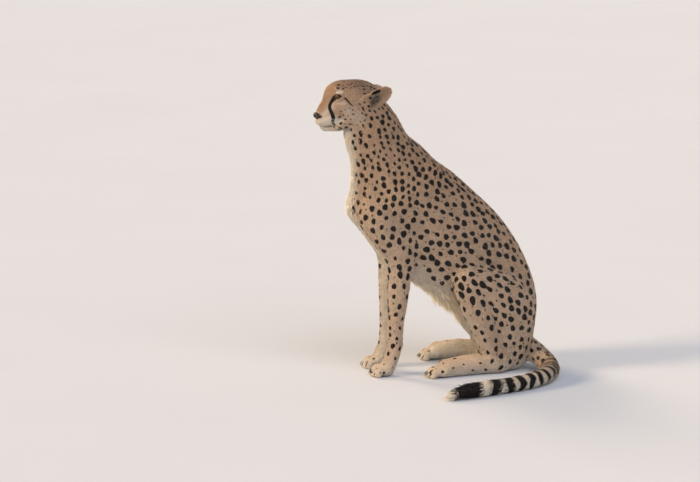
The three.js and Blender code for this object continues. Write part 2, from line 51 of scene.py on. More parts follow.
def on_side(at, side):
    """A place or a way that is given for the right side, on the side asked for: -1 is the left."""
    return np.array([at[0], side * at[1], at[2]], float)


eye_low, eye_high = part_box("eye_left")
OFFSET = (np.array(eye_low) + np.array(eye_high)) / 2 - on_side(EYE["at"], -1) / 1000


def in_room(points):
    """Places in the animal's frame, in mm, as places in the room, in metres."""
    return np.asarray(points, float) / 1000 + OFFSET


def unit(vectors):
    return vectors / np.maximum(np.linalg.norm(vectors, axis=-1, keepdims=True), 1e-9)


# --------------------------------------------------------------------------------------------- the camera
# A long lens, a little behind the animal's left side and a little above it.

CAMERA = {
    "turn": -12, "height": 11, "aim": (-0.345, 0.438), "view_width": 2.415,
    "lens": 200, "sensor": 36, "sees_to": 60,
}


def photographer():
    """The camera looks along f, level with r, and aims at a point right and up of the animal's origin."""
    turn, height = np.radians([CAMERA["turn"], CAMERA["height"]])
    right = np.array([np.cos(turn), np.sin(turn), 0])
    ahead = np.array([-np.sin(turn) * np.cos(height), np.cos(turn) * np.cos(height), -np.sin(height)])
    up = np.cross(right, ahead)
    origin = np.array([OFFSET[0], OFFSET[1], 0])
    target = origin + right * CAMERA["aim"][0] + up * CAMERA["aim"][1]
    away = CAMERA["view_width"] * CAMERA["lens"] / CAMERA["sensor"]
    data = bpy.data.cameras.new("camera")
    data.lens, data.sensor_width, data.clip_end = CAMERA["lens"], CAMERA["sensor"], CAMERA["sees_to"]
    camera = bpy.data.objects.new("camera", data)
    axes = np.column_stack([right, up, -ahead, target - ahead * away])
    camera.matrix_world = Matrix([*axes, (0, 0, 0, 1)])
    bpy.context.scene.collection.objects.link(camera)
    bpy.context.scene.camera = camera


photographer()

# -------------------------------------------------------------------------------------- the body's masses
# Muscle and bone under the hide. The trunk, neck, tail and limbs are lines of stations (x, y, z, half
# depth, width as a share of it); the head is built of ellipsoids (centre, half sizes, lean about Y). Each
# joins the rest with a fillet.

TRUNK = [
    (-300, 0, 902, 78, 0.84), (-274, 0, 832, 102, 0.72), (-241, 0, 752, 114, 0.68),
    (-203, 0, 671, 150, 0.62), (-174, 0, 604, 177, 0.58), (-118, 0, 543, 190, 0.56),
    (-55, 0, 482, 192, 0.56), (13, 0, 420, 190, 0.55), (72, 0, 361, 178, 0.53),
    (119, 0, 300, 164, 0.52), (156, 0, 234, 149, 0.55), (181, 0, 170, 121, 0.65),
    (184, 0, 91, 95, 0.76),
]
SHOULDER_BLADE = [(-92, 46, 684, 49, 0.68), (-186, 64, 612, 62, 0.66), (-268, 74, 556, 64, 0.7)]
UPPER_ARM = [(-268, 74, 556, 64, 0.7), (-224, 80, 482, 66, 0.62), (-192, 76, 418, 46, 0.7)]
FOREARM = [
    (-196, 75, 440, 47, 0.74), (-196, 72, 350, 43, 0.74), (-201, 69, 262, 37, 0.74),
    (-207, 66, 180, 29, 0.8), (-209, 65, 118, 27, 0.9), (-217, 66, 74, 26, 1), (-238, 68, 25, 27, 1.1),
]
THIGH = [
    (44, 106, 318, 60, 0.78), (112, 104, 288, 78, 0.72), (172, 92, 222, 100, 0.68),
    (188, 77, 146, 89, 0.74), (187, 63, 81, 85, 0.73),
]
SHANK = [
    (40, 116, 312, 60, 0.66), (62, 122, 240, 56, 0.62), (92, 120, 160, 47, 0.6),
    (116, 114, 92, 38, 0.64), (138, 108, 42, 36, 0.7),
]
HIND_FOOT = [
    (152, 104, 33, 34, 0.74), (92, 110, 36, 36, 0.72), (20, 120, 35, 35, 0.78), (-52, 130, 30, 31, 1.06),
]
RIGHT_FOOT = {"back": 40, "out": 22}
TAIL = [
    (212, -2, 100, 38, 1), (268, -44, 71, 38, 1), (300, -112, 44, 36, 1), (305, -196, 31, 33, 1),
    (276, -280, 29, 31, 1), (204, -352, 27, 29, 1), (112, -400, 26, 28, 1), (20, -436, 27, 29.5, 1),
    (-60, -462, 26, 26, 1), (-116, -482, 16, 12, 1),
]
TOES = 4
FOREPAW = {"ball": (-236, 68), "reach": 52, "spread": 54, "fan": 9, "height": 33, "toe": 15.5}
HINDPAW = {"ball": (-52, 130), "reach": 56, "spread": 52, "fan": 7, "height": 32, "toe": 15.5}
MIDDLE_TOE_LEAD = 9
BRIDGE = [(-404, 0, 945, 39, 0.9), (-430, 0, 925, 30, 0.92), (-452, 0, 902, 22, 1)]
MAXILLA = [(-392, 32, 932, 24, 0.8), (-424, 21, 900, 25, 0.8)]
JAW = [(-434, 5, 860, 16, 1), (-398, 18, 867, 25, 0.85), (-350, 33, 890, 31, 0.72)]

REACH = 36  # farther than this from a mass, it no longer shapes the surface


def soft_min(a, b, fillet):
    """The smaller of two distances, less a rounded fillet: h^2 k / 4, where h = 1 - |a - b| / k."""
    h = np.maximum(fillet - np.abs(a - b), 0) / fillet
    return np.minimum(a, b) - h * h * fillet / 4


def soft_max(a, b, fillet):
    return -soft_min(-a, -b, fillet)


def smooth_line(stations, steps):
    """Stations carried through a Catmull-Rom curve: each point a cubic of the four stations round it."""
    s = np.asarray(stations, float)
    a, b, c, d = (np.vstack([s[:1], s, s[-1:]])[i : len(s) - 1 + i][:, None] for i in range(4))
    t = (np.arange(steps) / steps)[None, :, None]
    line = 0.5 * (2 * b + (c - a) * t + (2 * a - 5 * b + 4 * c - d) * t**2 + (3 * b - a - 3 * c + d) * t**3)
    return np.vstack([line.reshape(-1, s.shape[1]), s[-1:]])


class Swept:
    """A body carried along a smooth line: the distance to the line, with y over the width's share, less
    the half depth there. steps is how many pieces lie between two stations."""

    def __init__(self, stations, fillet, side=1, steps=3):
        line = smooth_line(stations, steps)
        line[:, 1] *= side
        self.line, self.fillet = line, fillet
        reach = (line[:, 3] * np.maximum(line[:, 4], 1))[:, None]
        self.low, self.high = (line[:, :3] - reach).min(0), (line[:, :3] + reach).max(0)

    def value(self, p, more=False):
        """Distances, and if more is asked for, their slopes and the way that the hair lies: along the
        line."""
        least = np.full(len(p), 1e9)
        slopes, lies = (np.zeros((len(p), 3)), np.zeros((len(p), 3))) if more else (None, None)
        for a, b in zip(self.line[:-1], self.line[1:]):
            u = b[:3] - a[:3]
            t = np.clip((p - a[:3]) @ u / (u @ u), 0, 1)
            w = a[4] + (b[4] - a[4]) * t
            gap = p - a[:3] - t[:, None] * u
            gap[:, 1] /= w
            length = np.sqrt((gap * gap).sum(1))
            d = length - a[3] - (b[3] - a[3]) * t
            nearer = d < least
            least = np.where(nearer, d, least)
            if more:
                gap[:, 1] /= w
                slopes[nearer] = (gap / np.maximum(length, 1e-6)[:, None])[nearer]
                lies[nearer] = u / np.linalg.norm(u)
        return (least, slopes, lies) if more else least


class Mass:
    """An ellipsoid, leaning about Y by some degrees. lie is the way that the hair on it lies."""

    def __init__(self, at, size, lean, fillet, side=1, lie=(1, 0, 0)):
        self.at, self.size, self.fillet = on_side(at, side), np.array(size, float), fillet
        c, s = np.cos(np.radians(lean)), np.sin(np.radians(lean))
        self.turn = np.array([[c, 0, -s], [0, 1, 0], [s, 0, c]])
        self.lie = unit(on_side(lie, side))
        self.low, self.high = self.at - max(size), self.at + max(size)

    def value(self, p, more=False):
        q = (p - self.at) @ self.turn.T
        k0 = np.sqrt(((q / self.size) ** 2).sum(1))
        k1 = np.sqrt(((q / self.size**2) ** 2).sum(1))
        d = k0 * (k0 - 1) / np.maximum(k1, 1e-9)
        if not more:
            return d
        return d, unit((q / self.size**2) @ self.turn), np.repeat(self.lie[None], len(p), 0)


def toe_lines(paw, back=0, out=0):
    """Four toes side by side, each from the ball of the paw over its knuckle to its tip, fanned a little.
    The middle two lead."""
    x, y = paw["ball"]
    lines = []
    for i in range(TOES):
        share = (i - (TOES - 1) / 2) / ((TOES - 1) / 2)
        lead = MIDDLE_TOE_LEAD if abs(share) < 0.5 else 0
        y0 = y + out + share * paw["spread"] / 2.6
        y1 = y0 + share * paw["fan"]
        x1 = x - paw["reach"] - lead + back
        lines.append([
            (x - 8 + back, y0, paw["height"] * 0.62, paw["toe"] * 1.02, 0.72),
            ((x + x1) / 2 - 6 + back / 2, (y0 + y1) / 2, paw["height"] * 0.66, paw["toe"], 0.72),
            (x1 + 13, y1, paw["height"] * 0.36, paw["toe"] * 0.92, 0.76),
        ])
    return lines


def foot_shift(side):
    """How far the right hind foot stands behind the left one, and out from it."""
    return (RIGHT_FOOT["back"], RIGHT_FOOT["out"]) if side > 0 else (0, 0)


def body_masses():
    """The breast, trunk, tail and limbs; the right shank leans to meet its foot."""
    breast = Mass((-318, 0, 574), (50, 50, 60), -20, 30, lie=(0.1, 0, -1))
    masses = [Swept(TRUNK, 30), breast, Swept(TAIL, 24)]
    for _, side in SIDES:
        back, out = foot_shift(side)
        foot = [(x + back, y + out, z, r, w) for x, y, z, r, w in HIND_FOOT]
        steps = np.linspace(0, 1, len(SHANK))
        shank = [(x + 0.8 * back * t, y + out * t, z, r, w) for (x, y, z, r, w), t in zip(SHANK, steps)]
        masses += [
            Swept(SHOULDER_BLADE, 34, side),
            Swept(UPPER_ARM, 34, side),
            Mass((-186, 82, 492), (50, 32, 76), 14, 20, side, lie=(0, 0, -1)),
            Swept(FOREARM, 26, side),
            Mass((-187, 66, 104), (9, 7, 8), 0, 8, side, lie=(0, 0, -1)),
            Swept(THIGH, 26, side),
            Swept(shank, 18, side),
            Swept(foot, 20, side),
        ]
        masses += [Swept(line, 9, side) for line in toe_lines(FOREPAW)]
        masses += [Swept(line, 9, side) for line in toe_lines(HINDPAW, back, out)]
    return masses


def head_masses():
    """The skull's forms, from the cranium to the chin."""
    masses = [
        Mass((-334, 0, 954), (88, 59, 64), 2, 20, lie=(1, 0, 0.05)),  # cranium
        Mass((-388, 0, 962), (57, 41, 53), 0, 20, lie=(0.6, 0, 0.8)),  # forehead
        Swept(BRIDGE[::-1], 13),
    ]
    for _, side in SIDES:
        masses += [
            Mass((-346, 38, 966), (46, 24, 32), 0, 20, side, lie=(1, 0.1, -0.2)),  # temple
            Mass((-345, 36, 914), (52, 27, 44), 20, 20, side, lie=(0.9, 0.1, -0.45)),  # cheek
            Mass((-384, 40, 938), (36, 19, 19), 20, 13, side, lie=(0.95, 0.2, -0.3)),  # cheekbone
            Mass((-393, 36, 986), (27, 15, 11), 20, 13, side, lie=(0.8, 0.3, 0.5)),  # brow
            Mass((-298, 44, 956), (30, 24, 26), -20, 20, side, lie=(1, 0.2, -0.1)),  # mound of the ear
            Swept(MAXILLA[::-1], 13, side),
            Mass((-444, 15, 881), (29, 20, 21), -12, 8, side, lie=(0.8, 0.5, -0.3)),  # whisker pad
            Swept(JAW, 13, side),
        ]
    masses.append(Mass((-434, 0, 860), (24, 19, 16), -10, 8, lie=(0.9, 0, -0.4)))  # chin
    return masses


MASSES = body_masses() + head_masses()
ORBITS = [Mass((-420, 56, 966), (28, 18, 14), 14, 12, side) for _, side in SIDES]


def near(mass, p, margin=REACH):
    """Which places lie within a margin of a form's box."""
    return np.nonzero(((p > mass.low - margin) & (p < mass.high + margin)).all(1))[0]


def outline(p, more=False):
    """Distance from the animal's outline, at the tips of its coat: negative inside. Slopes and lies blend
    as it does."""
    d = np.full(len(p), float(REACH))
    slopes, lies = np.zeros((len(p), 3)), np.zeros((len(p), 3))
    for mass in MASSES:
        at = near(mass, p)
        if not len(at):
            continue
        if not more:
            d[at] = soft_min(d[at], mass.value(p[at]), mass.fillet)
            continue
        own, own_slope, own_lie = mass.value(p[at], True)
        h = np.maximum(mass.fillet - np.abs(d[at] - own), 0) / mass.fillet
        share = np.where(own < d[at], 1 - h / 2, h / 2)[:, None]
        slopes[at] += (own_slope - slopes[at]) * share
        lies[at] += (own_lie - lies[at]) * share
        d[at] = soft_min(d[at], own, mass.fillet)
    for orbit in ORBITS:
        at = near(orbit, p)
        own = -orbit.value(p[at])
        d[at] = soft_max(d[at], own, orbit.fillet)
    return (d, slopes, lies) if more else d


# ----------------------------------------------------------------------------------------------- the ears
# Short rounded leaves of skin over gristle, cupped, laid back and turned out, with a hollow at the root.

EAR = {
    "root": (-291, 48, 955), "along": (0.82, 0.4, 0.5), "facing": (-0.25, 0.86, -0.44), "right_droop": 0.34,
    "length": 77, "buried": 16, "width": 31, "cup": 20, "flatter": 0.35, "mouth": (15, 7),
}
EAR_LEAF = [(-14, 0, 0, 22, 1), (6, 0, 0, 26.5, 1), (29, 0, 0, 28.5, 1), (53, 0, 0, 23.5, 1)]


def ear_axes(side):
    """Unit vectors along the ear, across it and out of its cup. The right ear droops."""
    along = unit(on_side(EAR["along"], side) - np.array([0, 0, EAR["right_droop"] if side > 0 else 0]))
    facing = on_side(EAR["facing"], side)
    facing = unit(facing - along * (facing @ along))
    return along, np.cross(facing, along), facing


def ear_place(p, side):
    """How far a place lies along the ear, across it, and in front of its cupped middle sheet, in mm."""
    along, across, facing = ear_axes(side)
    q = p - on_side(EAR["root"], side)
    u, c, n = q @ along, q @ across, q @ facing
    t = np.clip((u + EAR["buried"]) / (EAR["length"] + EAR["buried"]), 0, 1)
    share = np.clip(c / EAR["width"], -1.3, 1.3)
    slope = 2 * EAR["cup"] * share / EAR["width"] * (1 - EAR["flatter"] * t)
    return u, c, (n - EAR["cup"] * share**2 * (1 - EAR["flatter"] * t)) / np.sqrt(1 + slope**2)


def ear(p, side, half=1.6):
    """A rounded plate, thicker at its root: with e the flat distance to the leaf's outline, and n that to
    its sheet, the distance is hypot(max(e, 0), n) - half."""
    u, c, n = ear_place(p, side)
    leaf = Swept(EAR_LEAF, 1)
    e = leaf.value(np.stack([u, c, 0 * u], 1)) + half
    thick = half + 5 * np.clip((12 - u) / 30, 0, 1)
    return np.sqrt(np.maximum(e, 0) ** 2 + n**2) - thick


def ear_hollow(p, side):
    """The mouth of the ear: an ellipsoid 42 x 26 x 18 mm, sunk in front of the leaf's root."""
    u, c, n = ear_place(p, side)
    u, c = u - EAR["mouth"][0], c + EAR["mouth"][1]
    return (np.sqrt((u / 21) ** 2 + (c / 13) ** 2 + ((n - 6) / 9) ** 2) - 1) * 9


# --------------------------------------------------------------------------------- how deep the coat lies
# Short and close on the face and feet, longer on the body, and shaggy under the belly, on the chest and
# tail's end. Each entry is a place, how far it tells, and the coat's depth there in mm.


def nearness(p, at, reach, sharp=1.4):
    """1 at a place, fading from it as exp(-sharp (distance / reach)^2)."""
    return np.exp(-(((p - np.array(at)) / reach) ** 2).sum(1) * sharp)


def by_place(p, base, entries):
    """Values that hold round places: the base, drawn to each entry's value in turn by the nearness of its
    place."""
    values = np.repeat(np.atleast_2d(np.array(base, float)), len(p), 0)
    for at, reach, value in entries:
        values += (np.array(value, float) - values) * nearness(p, at, reach)[:, None]
    return values


def both(entries):
    """The entries, and their mirror images on the left side."""
    return entries + [((at[0], -at[1], at[2]), *rest) for at, *rest in entries]


BODY_COAT = 5.5
COAT_DEPTHS = [
    ((-385, 0, 930), 105, 2.6),  # face
    ((-450, 0, 885), 46, 1.6),  # muzzle
    ((-250, 0, 985), 95, 3.4),  # ears
    *both([((-330, 60, 890), 50, 6)]),  # cheeks
    ((-355, 0, 700), 95, 8), ((-352, 0, 590), 90, 8),  # throat and chest
    ((-130, 0, 850), 80, 9), ((-60, 0, 740), 70, 9),  # nape and withers
    *both([((-205, 70, 300), 120, 3.6)]), *both([((-215, 70, 110), 85, 2.8)]),  # forelegs
    *both([((-265, 70, 20), 75, 2)]),  # forepaws
    ((-75, 0, 300), 85, 20), ((5, 0, 225), 80, 24),  # belly
    *both([((60, 125, 120), 90, 4)]),  # shanks
    *both([((0, 130, 25), 110, 2.4)]),  # hind feet
    ((60, -420, 26), 90, 8), ((-40, -450, 26), 90, 9),  # end of the tail
]


def coat_depth(p):
    """The coat's depth over the skin, in mm."""
    return by_place(p, BODY_COAT, COAT_DEPTHS)[:, 0]


# --------------------------------------------------------------------------------------- the face's folds
# Lids close over each eyeball to an almond slit, drawn to a tear duct at the inner corner. The mouth is a
# fine fold from under the nose round to a corner below the eye.

EYE_GAZE = (-0.74, 0.66, 0.08)
LID = {"thick": 2.2, "long": 14.5, "above": 4.9, "below": 4.7, "rise": 0.14, "sunk": 2.2, "fillet": 5}
MOUTH = [
    (-470, 0, 870, 1.4, 1), (-464, 9, 864, 1.5, 1), (-452, 18, 861, 1.6, 1), (-438, 24, 861, 1.6, 1),
    (-424, 28, 864, 1.7, 1), (-413, 31, 870, 1.2, 1),
]
LIP_CLEFT = [(-478, 0, 890, 1.3, 1), (-474, 0, 880, 1.4, 1), (-470, 0, 870, 1.4, 1)]


def eye_axes(side):
    """Unit vectors along the gaze, level towards the back of the head, and up."""
    gaze = unit(on_side(EYE_GAZE, side))
    back = unit(np.array([side * gaze[1], -side * gaze[0], 0]))
    return gaze, back, side * np.cross(back, gaze)


def eye_place(p, side):
    """Distance from the eye's centre, how far back and up from its axis a place lies, in mm on the
    eyeball, and how far ahead of the centre."""
    gaze, back, up = eye_axes(side)
    q = p - on_side(EYE["at"], side)
    rho, ahead = np.linalg.norm(q, axis=1), q @ gaze
    a = EYE["r"] * np.arctan2(q @ back, np.maximum(ahead, 1e-3))
    b = EYE["r"] * np.arcsin(np.clip((q @ up) / np.maximum(rho, 1e-6), -1, 1))
    return rho, a, b, ahead


def lid_gap(a, b):
    """Distance outside the almond slit: between two parabolas that meet at the eye's corners."""
    share = np.clip(1 - (a / LID["long"]) ** 2, -1, 1)
    middle = LID["rise"] * a
    return np.maximum(b - middle - LID["above"] * share, middle - LID["below"] * share - b)


def lids(d, p, side, open_eye=True):
    """Adds a shell over the eyeball to the face's distance d, and, for an open eye, cuts the slit through
    it."""
    rho, a, b, ahead = eye_place(p, side)
    d = soft_min(d, rho - EYE["r"] - LID["thick"], LID["fillet"])
    if not open_eye:
        return d
    slit = np.maximum(lid_gap(a, b), (EYE["r"] - LID["sunk"]) - rho)
    return soft_max(d, -np.where(ahead > 0, slit, 9), 1)


CREASES = [Swept(MOUTH, 1, side) for _, side in SIDES] + [Swept(LIP_CLEFT, 1)]

FOLDS = [  # loose skin: the line of a fold on the animal's side, its width, and how deep it is, in mm
    ([(-8, 105, 364), (24, 106, 402), (80, 104, 392), (143, 98, 365), (214, 90, 355)], 7, 3.4),
    ([(6, 105, 388), (40, 106, 420), (96, 104, 408), (150, 98, 386)], 6, 1.5),
    ([(-132, 110, 470), (-128, 110, 420), (-142, 104, 380)], 8, 3.0),
    ([(-262, 60, 842), (-232, 66, 806), (-222, 66, 766)], 9, 1.6),
    ([(-20, 105, 340), (-16, 105, 300), (2, 112, 268)], 7, 1.8),
    ([(-168, 95, 740), (-154, 104, 650), (-140, 110, 560), (-134, 110, 490)], 13, 3.0),
    ([(-250, 90, 640), (-238, 96, 560), (-236, 96, 480)], 12, 1.8),
    ([(150, 104, 310), (172, 96, 210), (184, 90, 110)], 10, 2.6),
    ([(46, 130, 114), (64, 132, 86), (96, 132, 66), (148, 126, 57), (190, 118, 55)], 8, 3.6),
]
FOLD_FORMS = [Swept([(*at, 1, 12) for at in line], 1, side) for line, _, _ in FOLDS for _, side in SIDES]


def skin_folds(p):
    """How far folds draw the skin in: depth exp(-(r / width)^2), with r in side view, less a low ridge
    outside it."""
    drawn = np.zeros(len(p))
    for form, (_, width, depth) in zip(FOLD_FORMS, [fold for fold in FOLDS for _ in SIDES]):
        at = near(form, p, 30)
        at = at[p[at, 1] * form.line[0, 1] > 0]
        if len(at):
            r = form.value(p[at]) + 1
            ridge = np.exp(-(((r - 1.9 * width) / width) ** 2))
            drawn[at] += depth * np.exp(-((r / width) ** 2)) - 0.4 * depth * ridge
    return drawn


def hide(p, thick_ears=0, folds=True):
    """Distance from the skin: the outline drawn in by the coat's depth, with ears, lids, folds and mouth.
    The first, coarse rounds leave the folds out and thicken the ears, so that no cell misses them."""
    depth = coat_depth(p)
    d = outline(p) + depth
    head = np.nonzero((p[:, 0] < -170) & (p[:, 2] > 820))[0]
    q, f = p[head], d[head]
    for _, side in SIDES:
        f = soft_min(f, ear(q, side, 1.6 + thick_ears), 6)
        if folds:
            f = soft_max(f, -ear_hollow(q, side), 6)
        f = lids(f, q, side, folds)
    if folds:
        d += skin_folds(p)
        f += skin_folds(q)
        for crease in CREASES:
            at = near(crease, q, 12)
            f[at] = soft_max(f[at], -crease.value(q[at]), 1.6)
    d[head] = f
    return np.maximum(d, -(p[:, 2] - np.minimum(depth, 2) * 0.5)) if folds else d


# ---------------------------------------------------------------------------------------- the skin's mesh
# One hide over the whole animal: a first net of cells, then each long edge is halved where the form is
# fine, and every point is settled on the hide.


def first_net(values, low, cell):
    """One point in each cell that the surface crosses, at the mean of the crossings on its edges, joined
    in fours."""
    total = np.zeros(tuple(n - 1 for n in values.shape) + (3,))
    count = np.zeros(total.shape[:3])
    crossed = []
    for axis in range(3):
        u, v = [i for i in range(3) if i != axis]
        ends = [np.take(values, np.arange(values.shape[axis] - 1) + far, axis) for far in (0, 1)]
        cut = (ends[0] < 0) != (ends[1] < 0)
        t = np.where(cut, ends[0] / np.where(cut, ends[0] - ends[1], 1), 0)
        crossed.append((cut, ends[0] < 0))
        for du in (0, 1):
            for dv in (0, 1):
                part = [slice(None)] * 3
                part[u] = slice(du, values.shape[u] - 1 + du)
                part[v] = slice(dv, values.shape[v] - 1 + dv)
                here = cut[tuple(part)]
                offset = np.zeros(here.shape + (3,))
                offset[..., axis], offset[..., u], offset[..., v] = t[tuple(part)], du, dv
                total += np.where(here[..., None], offset, 0)
                count += here
    used = count > 0
    ids = np.full(used.shape, -1)
    ids[used] = np.arange(used.sum())
    points = low + (np.argwhere(used) + total[used] / count[used][:, None]) * cell
    quads = []
    for axis, (cut, first_in) in enumerate(crossed):
        u, v = [i for i in range(3) if i != axis]
        at = np.argwhere(cut)
        at = at[(at[:, [u, v]] > 0).all(1) & (at[:, [u, v]] < np.array(values.shape)[[u, v]] - 1).all(1)]
        ring = []
        for du, dv in ((1, 1), (0, 1), (0, 0), (1, 0)):
            corner = at.copy()
            corner[:, [u, v]] -= (du, dv)
            ring.append(ids[tuple(corner.T)])
        ring = np.stack(ring, 1)
        flip = first_in[tuple(at.T)] ^ (axis == 1)
        ring[~flip] = ring[~flip][:, ::-1]
        quads.append(ring)
    quads = np.vstack(quads)
    p = points[quads]
    even = np.linalg.norm(p[:, 0] - p[:, 2], axis=1) <= np.linalg.norm(p[:, 1] - p[:, 3], axis=1)
    first = np.where(even[:, None], quads[:, [0, 1, 2]], quads[:, [0, 1, 3]])
    second = np.where(even[:, None], quads[:, [0, 2, 3]], quads[:, [1, 2, 3]])
    return points, np.vstack([first, second])


def edges_of(faces):
    """Each edge once, and for each face the numbers of its three edges."""
    sides = np.sort(np.stack([faces, np.roll(faces, -1, 1)], 2).reshape(-1, 2), 1).astype(np.int64)
    keys, back = np.unique(sides[:, 0] << 32 | sides[:, 1], return_inverse=True)
    return np.stack([keys >> 32, keys & 0xFFFFFFFF], 1), back.reshape(-1, 3)


CUTS = {  # how triangle 0 1 2 is cut, by which edges are halved (1 + 2 + 4); 3, 4, 5 are their middles
    0: [(0, 1, 2)], 1: [(0, 3, 2), (3, 1, 2)], 2: [(0, 1, 4), (0, 4, 2)], 4: [(0, 1, 5), (5, 1, 2)],
    3: [(3, 1, 4), (0, 3, 4), (0, 4, 2)], 6: [(4, 2, 5), (0, 1, 4), (0, 4, 5)],
    5: [(0, 3, 5), (3, 1, 2), (3, 2, 5)], 7: [(0, 3, 5), (3, 1, 4), (5, 4, 2), (3, 4, 5)],
}


def halve(points, faces, wanted):
    """Halves each edge longer than the wanted length there."""
    edges, of_face = edges_of(faces)
    middle = points[edges].mean(1)
    long = np.linalg.norm(points[edges[:, 0]] - points[edges[:, 1]], axis=1) > wanted(middle)
    new_id = np.full(len(edges), -1)
    new_id[long] = len(points) + np.arange(long.sum())
    code = long[of_face] @ np.array([1, 2, 4])
    corners = np.hstack([faces, new_id[of_face]])
    made = [corners[code == c][:, list(tri)] for c, tris in CUTS.items() for tri in tris]
    return np.vstack([points, middle[long]]), np.vstack(made)


def sums(at, values, count):
    """The sum, for each of count points, of the vectors that belong to it."""
    return np.stack([np.bincount(at, values[:, i], count) for i in range(3)], 1)


def neighbours(faces):
    """Each edge's two ends, both ways round."""
    edges, _ = edges_of(faces)
    return np.concatenate([edges, edges[:, ::-1]]).T


def even_out(points, faces, share=0.5):
    """Draws each point towards the middle of its neighbours."""
    here, there = neighbours(faces)
    count = np.bincount(here, minlength=len(points))[:, None]
    return points + share * (sums(here, points[there], len(points)) / count - points)


def slope(field, p, value, step=0.4):
    """The field's slope at places where its value is known, by small steps along each axis."""
    return np.stack([(field(p + np.eye(3)[i] * step) - value) / step for i in range(3)], 1)


def skin_slope(field, p, value):
    """The body's slope comes with its distance; on the head it is found by small steps."""
    _, slopes, _ = outline(p, more=True)
    head = np.nonzero((p[:, 0] < -160) & (p[:, 2] > 815))[0]
    slopes[head] = slope(field, p[head], value[head])
    return slopes


def settle(points, field, rounds, most=3.0):
    """Moves each point down the field's slope onto its surface."""
    for _ in range(rounds):
        value = field(points)
        g = skin_slope(field, points, value)
        step = -value / np.maximum((g * g).sum(1), 0.25)
        move = g * step[:, None]
        size = np.linalg.norm(move, axis=1, keepdims=True)
        points = points + move * np.minimum(1, most / np.maximum(size, 1e-9))
    return points


FINE = both([  # where the skin is fine: a place, how far, and the edge length there in mm
    ((-262, 68, 20), 62, 4.2),  # forepaws
    ((-245, 66, 985), 52, 2.6),  # ears
    ((-410, 48, 966), 25, 1.25),  # lids
    ((-425, 26, 864), 18, 1.6),  # corners of the mouth
]) + [
    ((-400, 0, 925), 105, 2.9), ((-290, 0, 960), 60, 3.3), ((-452, 0, 876), 34, 1.9),  # head and lips
    ((-60, 145, 22), 75, 4.4), ((-60, -130, 22), 75, 4.4),  # hind feet
]
BODY_EDGE = 6.6
CELL = 8.0
NET_LOW, NET_HIGH = np.array([-500.0, -512, -16]), np.array([356, 206, 1040])


def edge_wanted(p):
    """The longest edge left alone at a place: a third more than the length wanted there."""
    length = np.full(len(p), BODY_EDGE)
    for at, reach, fine in FINE:
        gap = np.maximum(np.linalg.norm(p - np.array(at), axis=1) / reach - 1, 0)
        length = np.minimum(length, fine + gap * 9)
    return length * 1.32


def skin_mesh():
    """The first net is made from distances at every second corner of its cells, and then, near the skin,
    at all."""
    counts = np.ceil((NET_HIGH - NET_LOW) / CELL).astype(int) + 1
    axes = [NET_LOW[i] + np.arange(counts[i]) * CELL for i in range(3)]
    grid = np.stack(np.meshgrid(*axes, indexing="ij"), -1)
    rough = hide(grid[::2, ::2, ::2].reshape(-1, 3), thick_ears=5, folds=False).reshape((counts + 1) // 2)
    values = np.kron(rough, np.ones((2, 2, 2)))[: counts[0], : counts[1], : counts[2]]
    close = np.abs(values) < 3.2 * CELL
    values[close] = hide(grid[close], thick_ears=5, folds=False)
    points, faces = first_net(np.maximum(values, 1 - grid[..., 2]), NET_LOW, CELL)
    for thick in (3, 1, 0):
        def form(p):
            return hide(p, thick_ears=thick, folds=thick == 0)

        points = settle(points, form, 1 if thick else 2)
        points, faces = halve(points, faces, edge_wanted)
        points = settle(even_out(points, faces), form, 1)
    for _ in range(2):
        points, faces = halve(points, faces, edge_wanted)
        points = settle(even_out(points, faces, 0.4), hide, 2)
    return points, faces


points, faces = skin_mesh()


def new_mesh(name, verts, polygons, smooth=True):
    """A piece from arrays of places in the animal's frame and of faces with the same number of
    corners."""
    verts, polygons = in_room(verts), np.asarray(polygons)
    mesh = bpy.data.meshes.new(name)
    mesh.vertices.add(len(verts))
    mesh.vertices.foreach_set("co", verts.astype(np.float32).ravel())
    mesh.loops.add(polygons.size)
    mesh.loops.foreach_set("vertex_index", polygons.astype(np.int32).ravel())
    mesh.polygons.add(len(polygons))
    mesh.polygons.foreach_set("loop_start", np.arange(0, polygons.size, polygons.shape[1], dtype=np.int32))
    mesh.update(calc_edges=True)
    mesh.polygons.foreach_set("use_smooth", np.full(len(mesh.polygons), smooth))
    thing = bpy.data.objects.new(name, mesh)
    bpy.context.scene.collection.objects.link(thing)
    return thing


skin = new_mesh("skin", points, faces)
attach(skin, "root")
FLESH = ["head", "neck", "trunk", "tail_base", "tail_middle", "tail_end"]
PAIRED_FLESH = ("ear", "foreleg", "forepaw", "haunch", "hind_foot")
FLESH += [f"{part}_{name}" for part in PAIRED_FLESH for name, _ in SIDES]
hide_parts(*FLESH)


def unwrap(thing):
    """Lays the skin out flat in islands, each of faces that look much the same way."""
    bpy.context.view_layer.objects.active = thing
    thing.select_set(True)
    thing.data.uv_layers.new(name="OFBake")
    bpy.ops.object.mode_set(mode="EDIT")
    bpy.ops.mesh.select_all(action="SELECT")
    bpy.ops.uv.smart_project(angle_limit=1.15, island_margin=0.002)
    bpy.ops.object.mode_set(mode="OBJECT")
    flat = np.zeros(len(thing.data.loops) * 2, np.float32)
    thing.data.uv_layers["OFBake"].data.foreach_get("uv", flat)
    return flat.reshape(-1, 3, 2)


skin_flat = unwrap(skin)


def face_normals():
    """The skin's normal on each face, as long as twice the face's area."""
    a, b, c = (points[faces[:, i]] for i in range(3))
    return np.cross(b - a, c - a)


def along_skin(way, n):
    """The part of a way that is square to the normal n."""
    return way - n * (way * n).sum(1, keepdims=True)


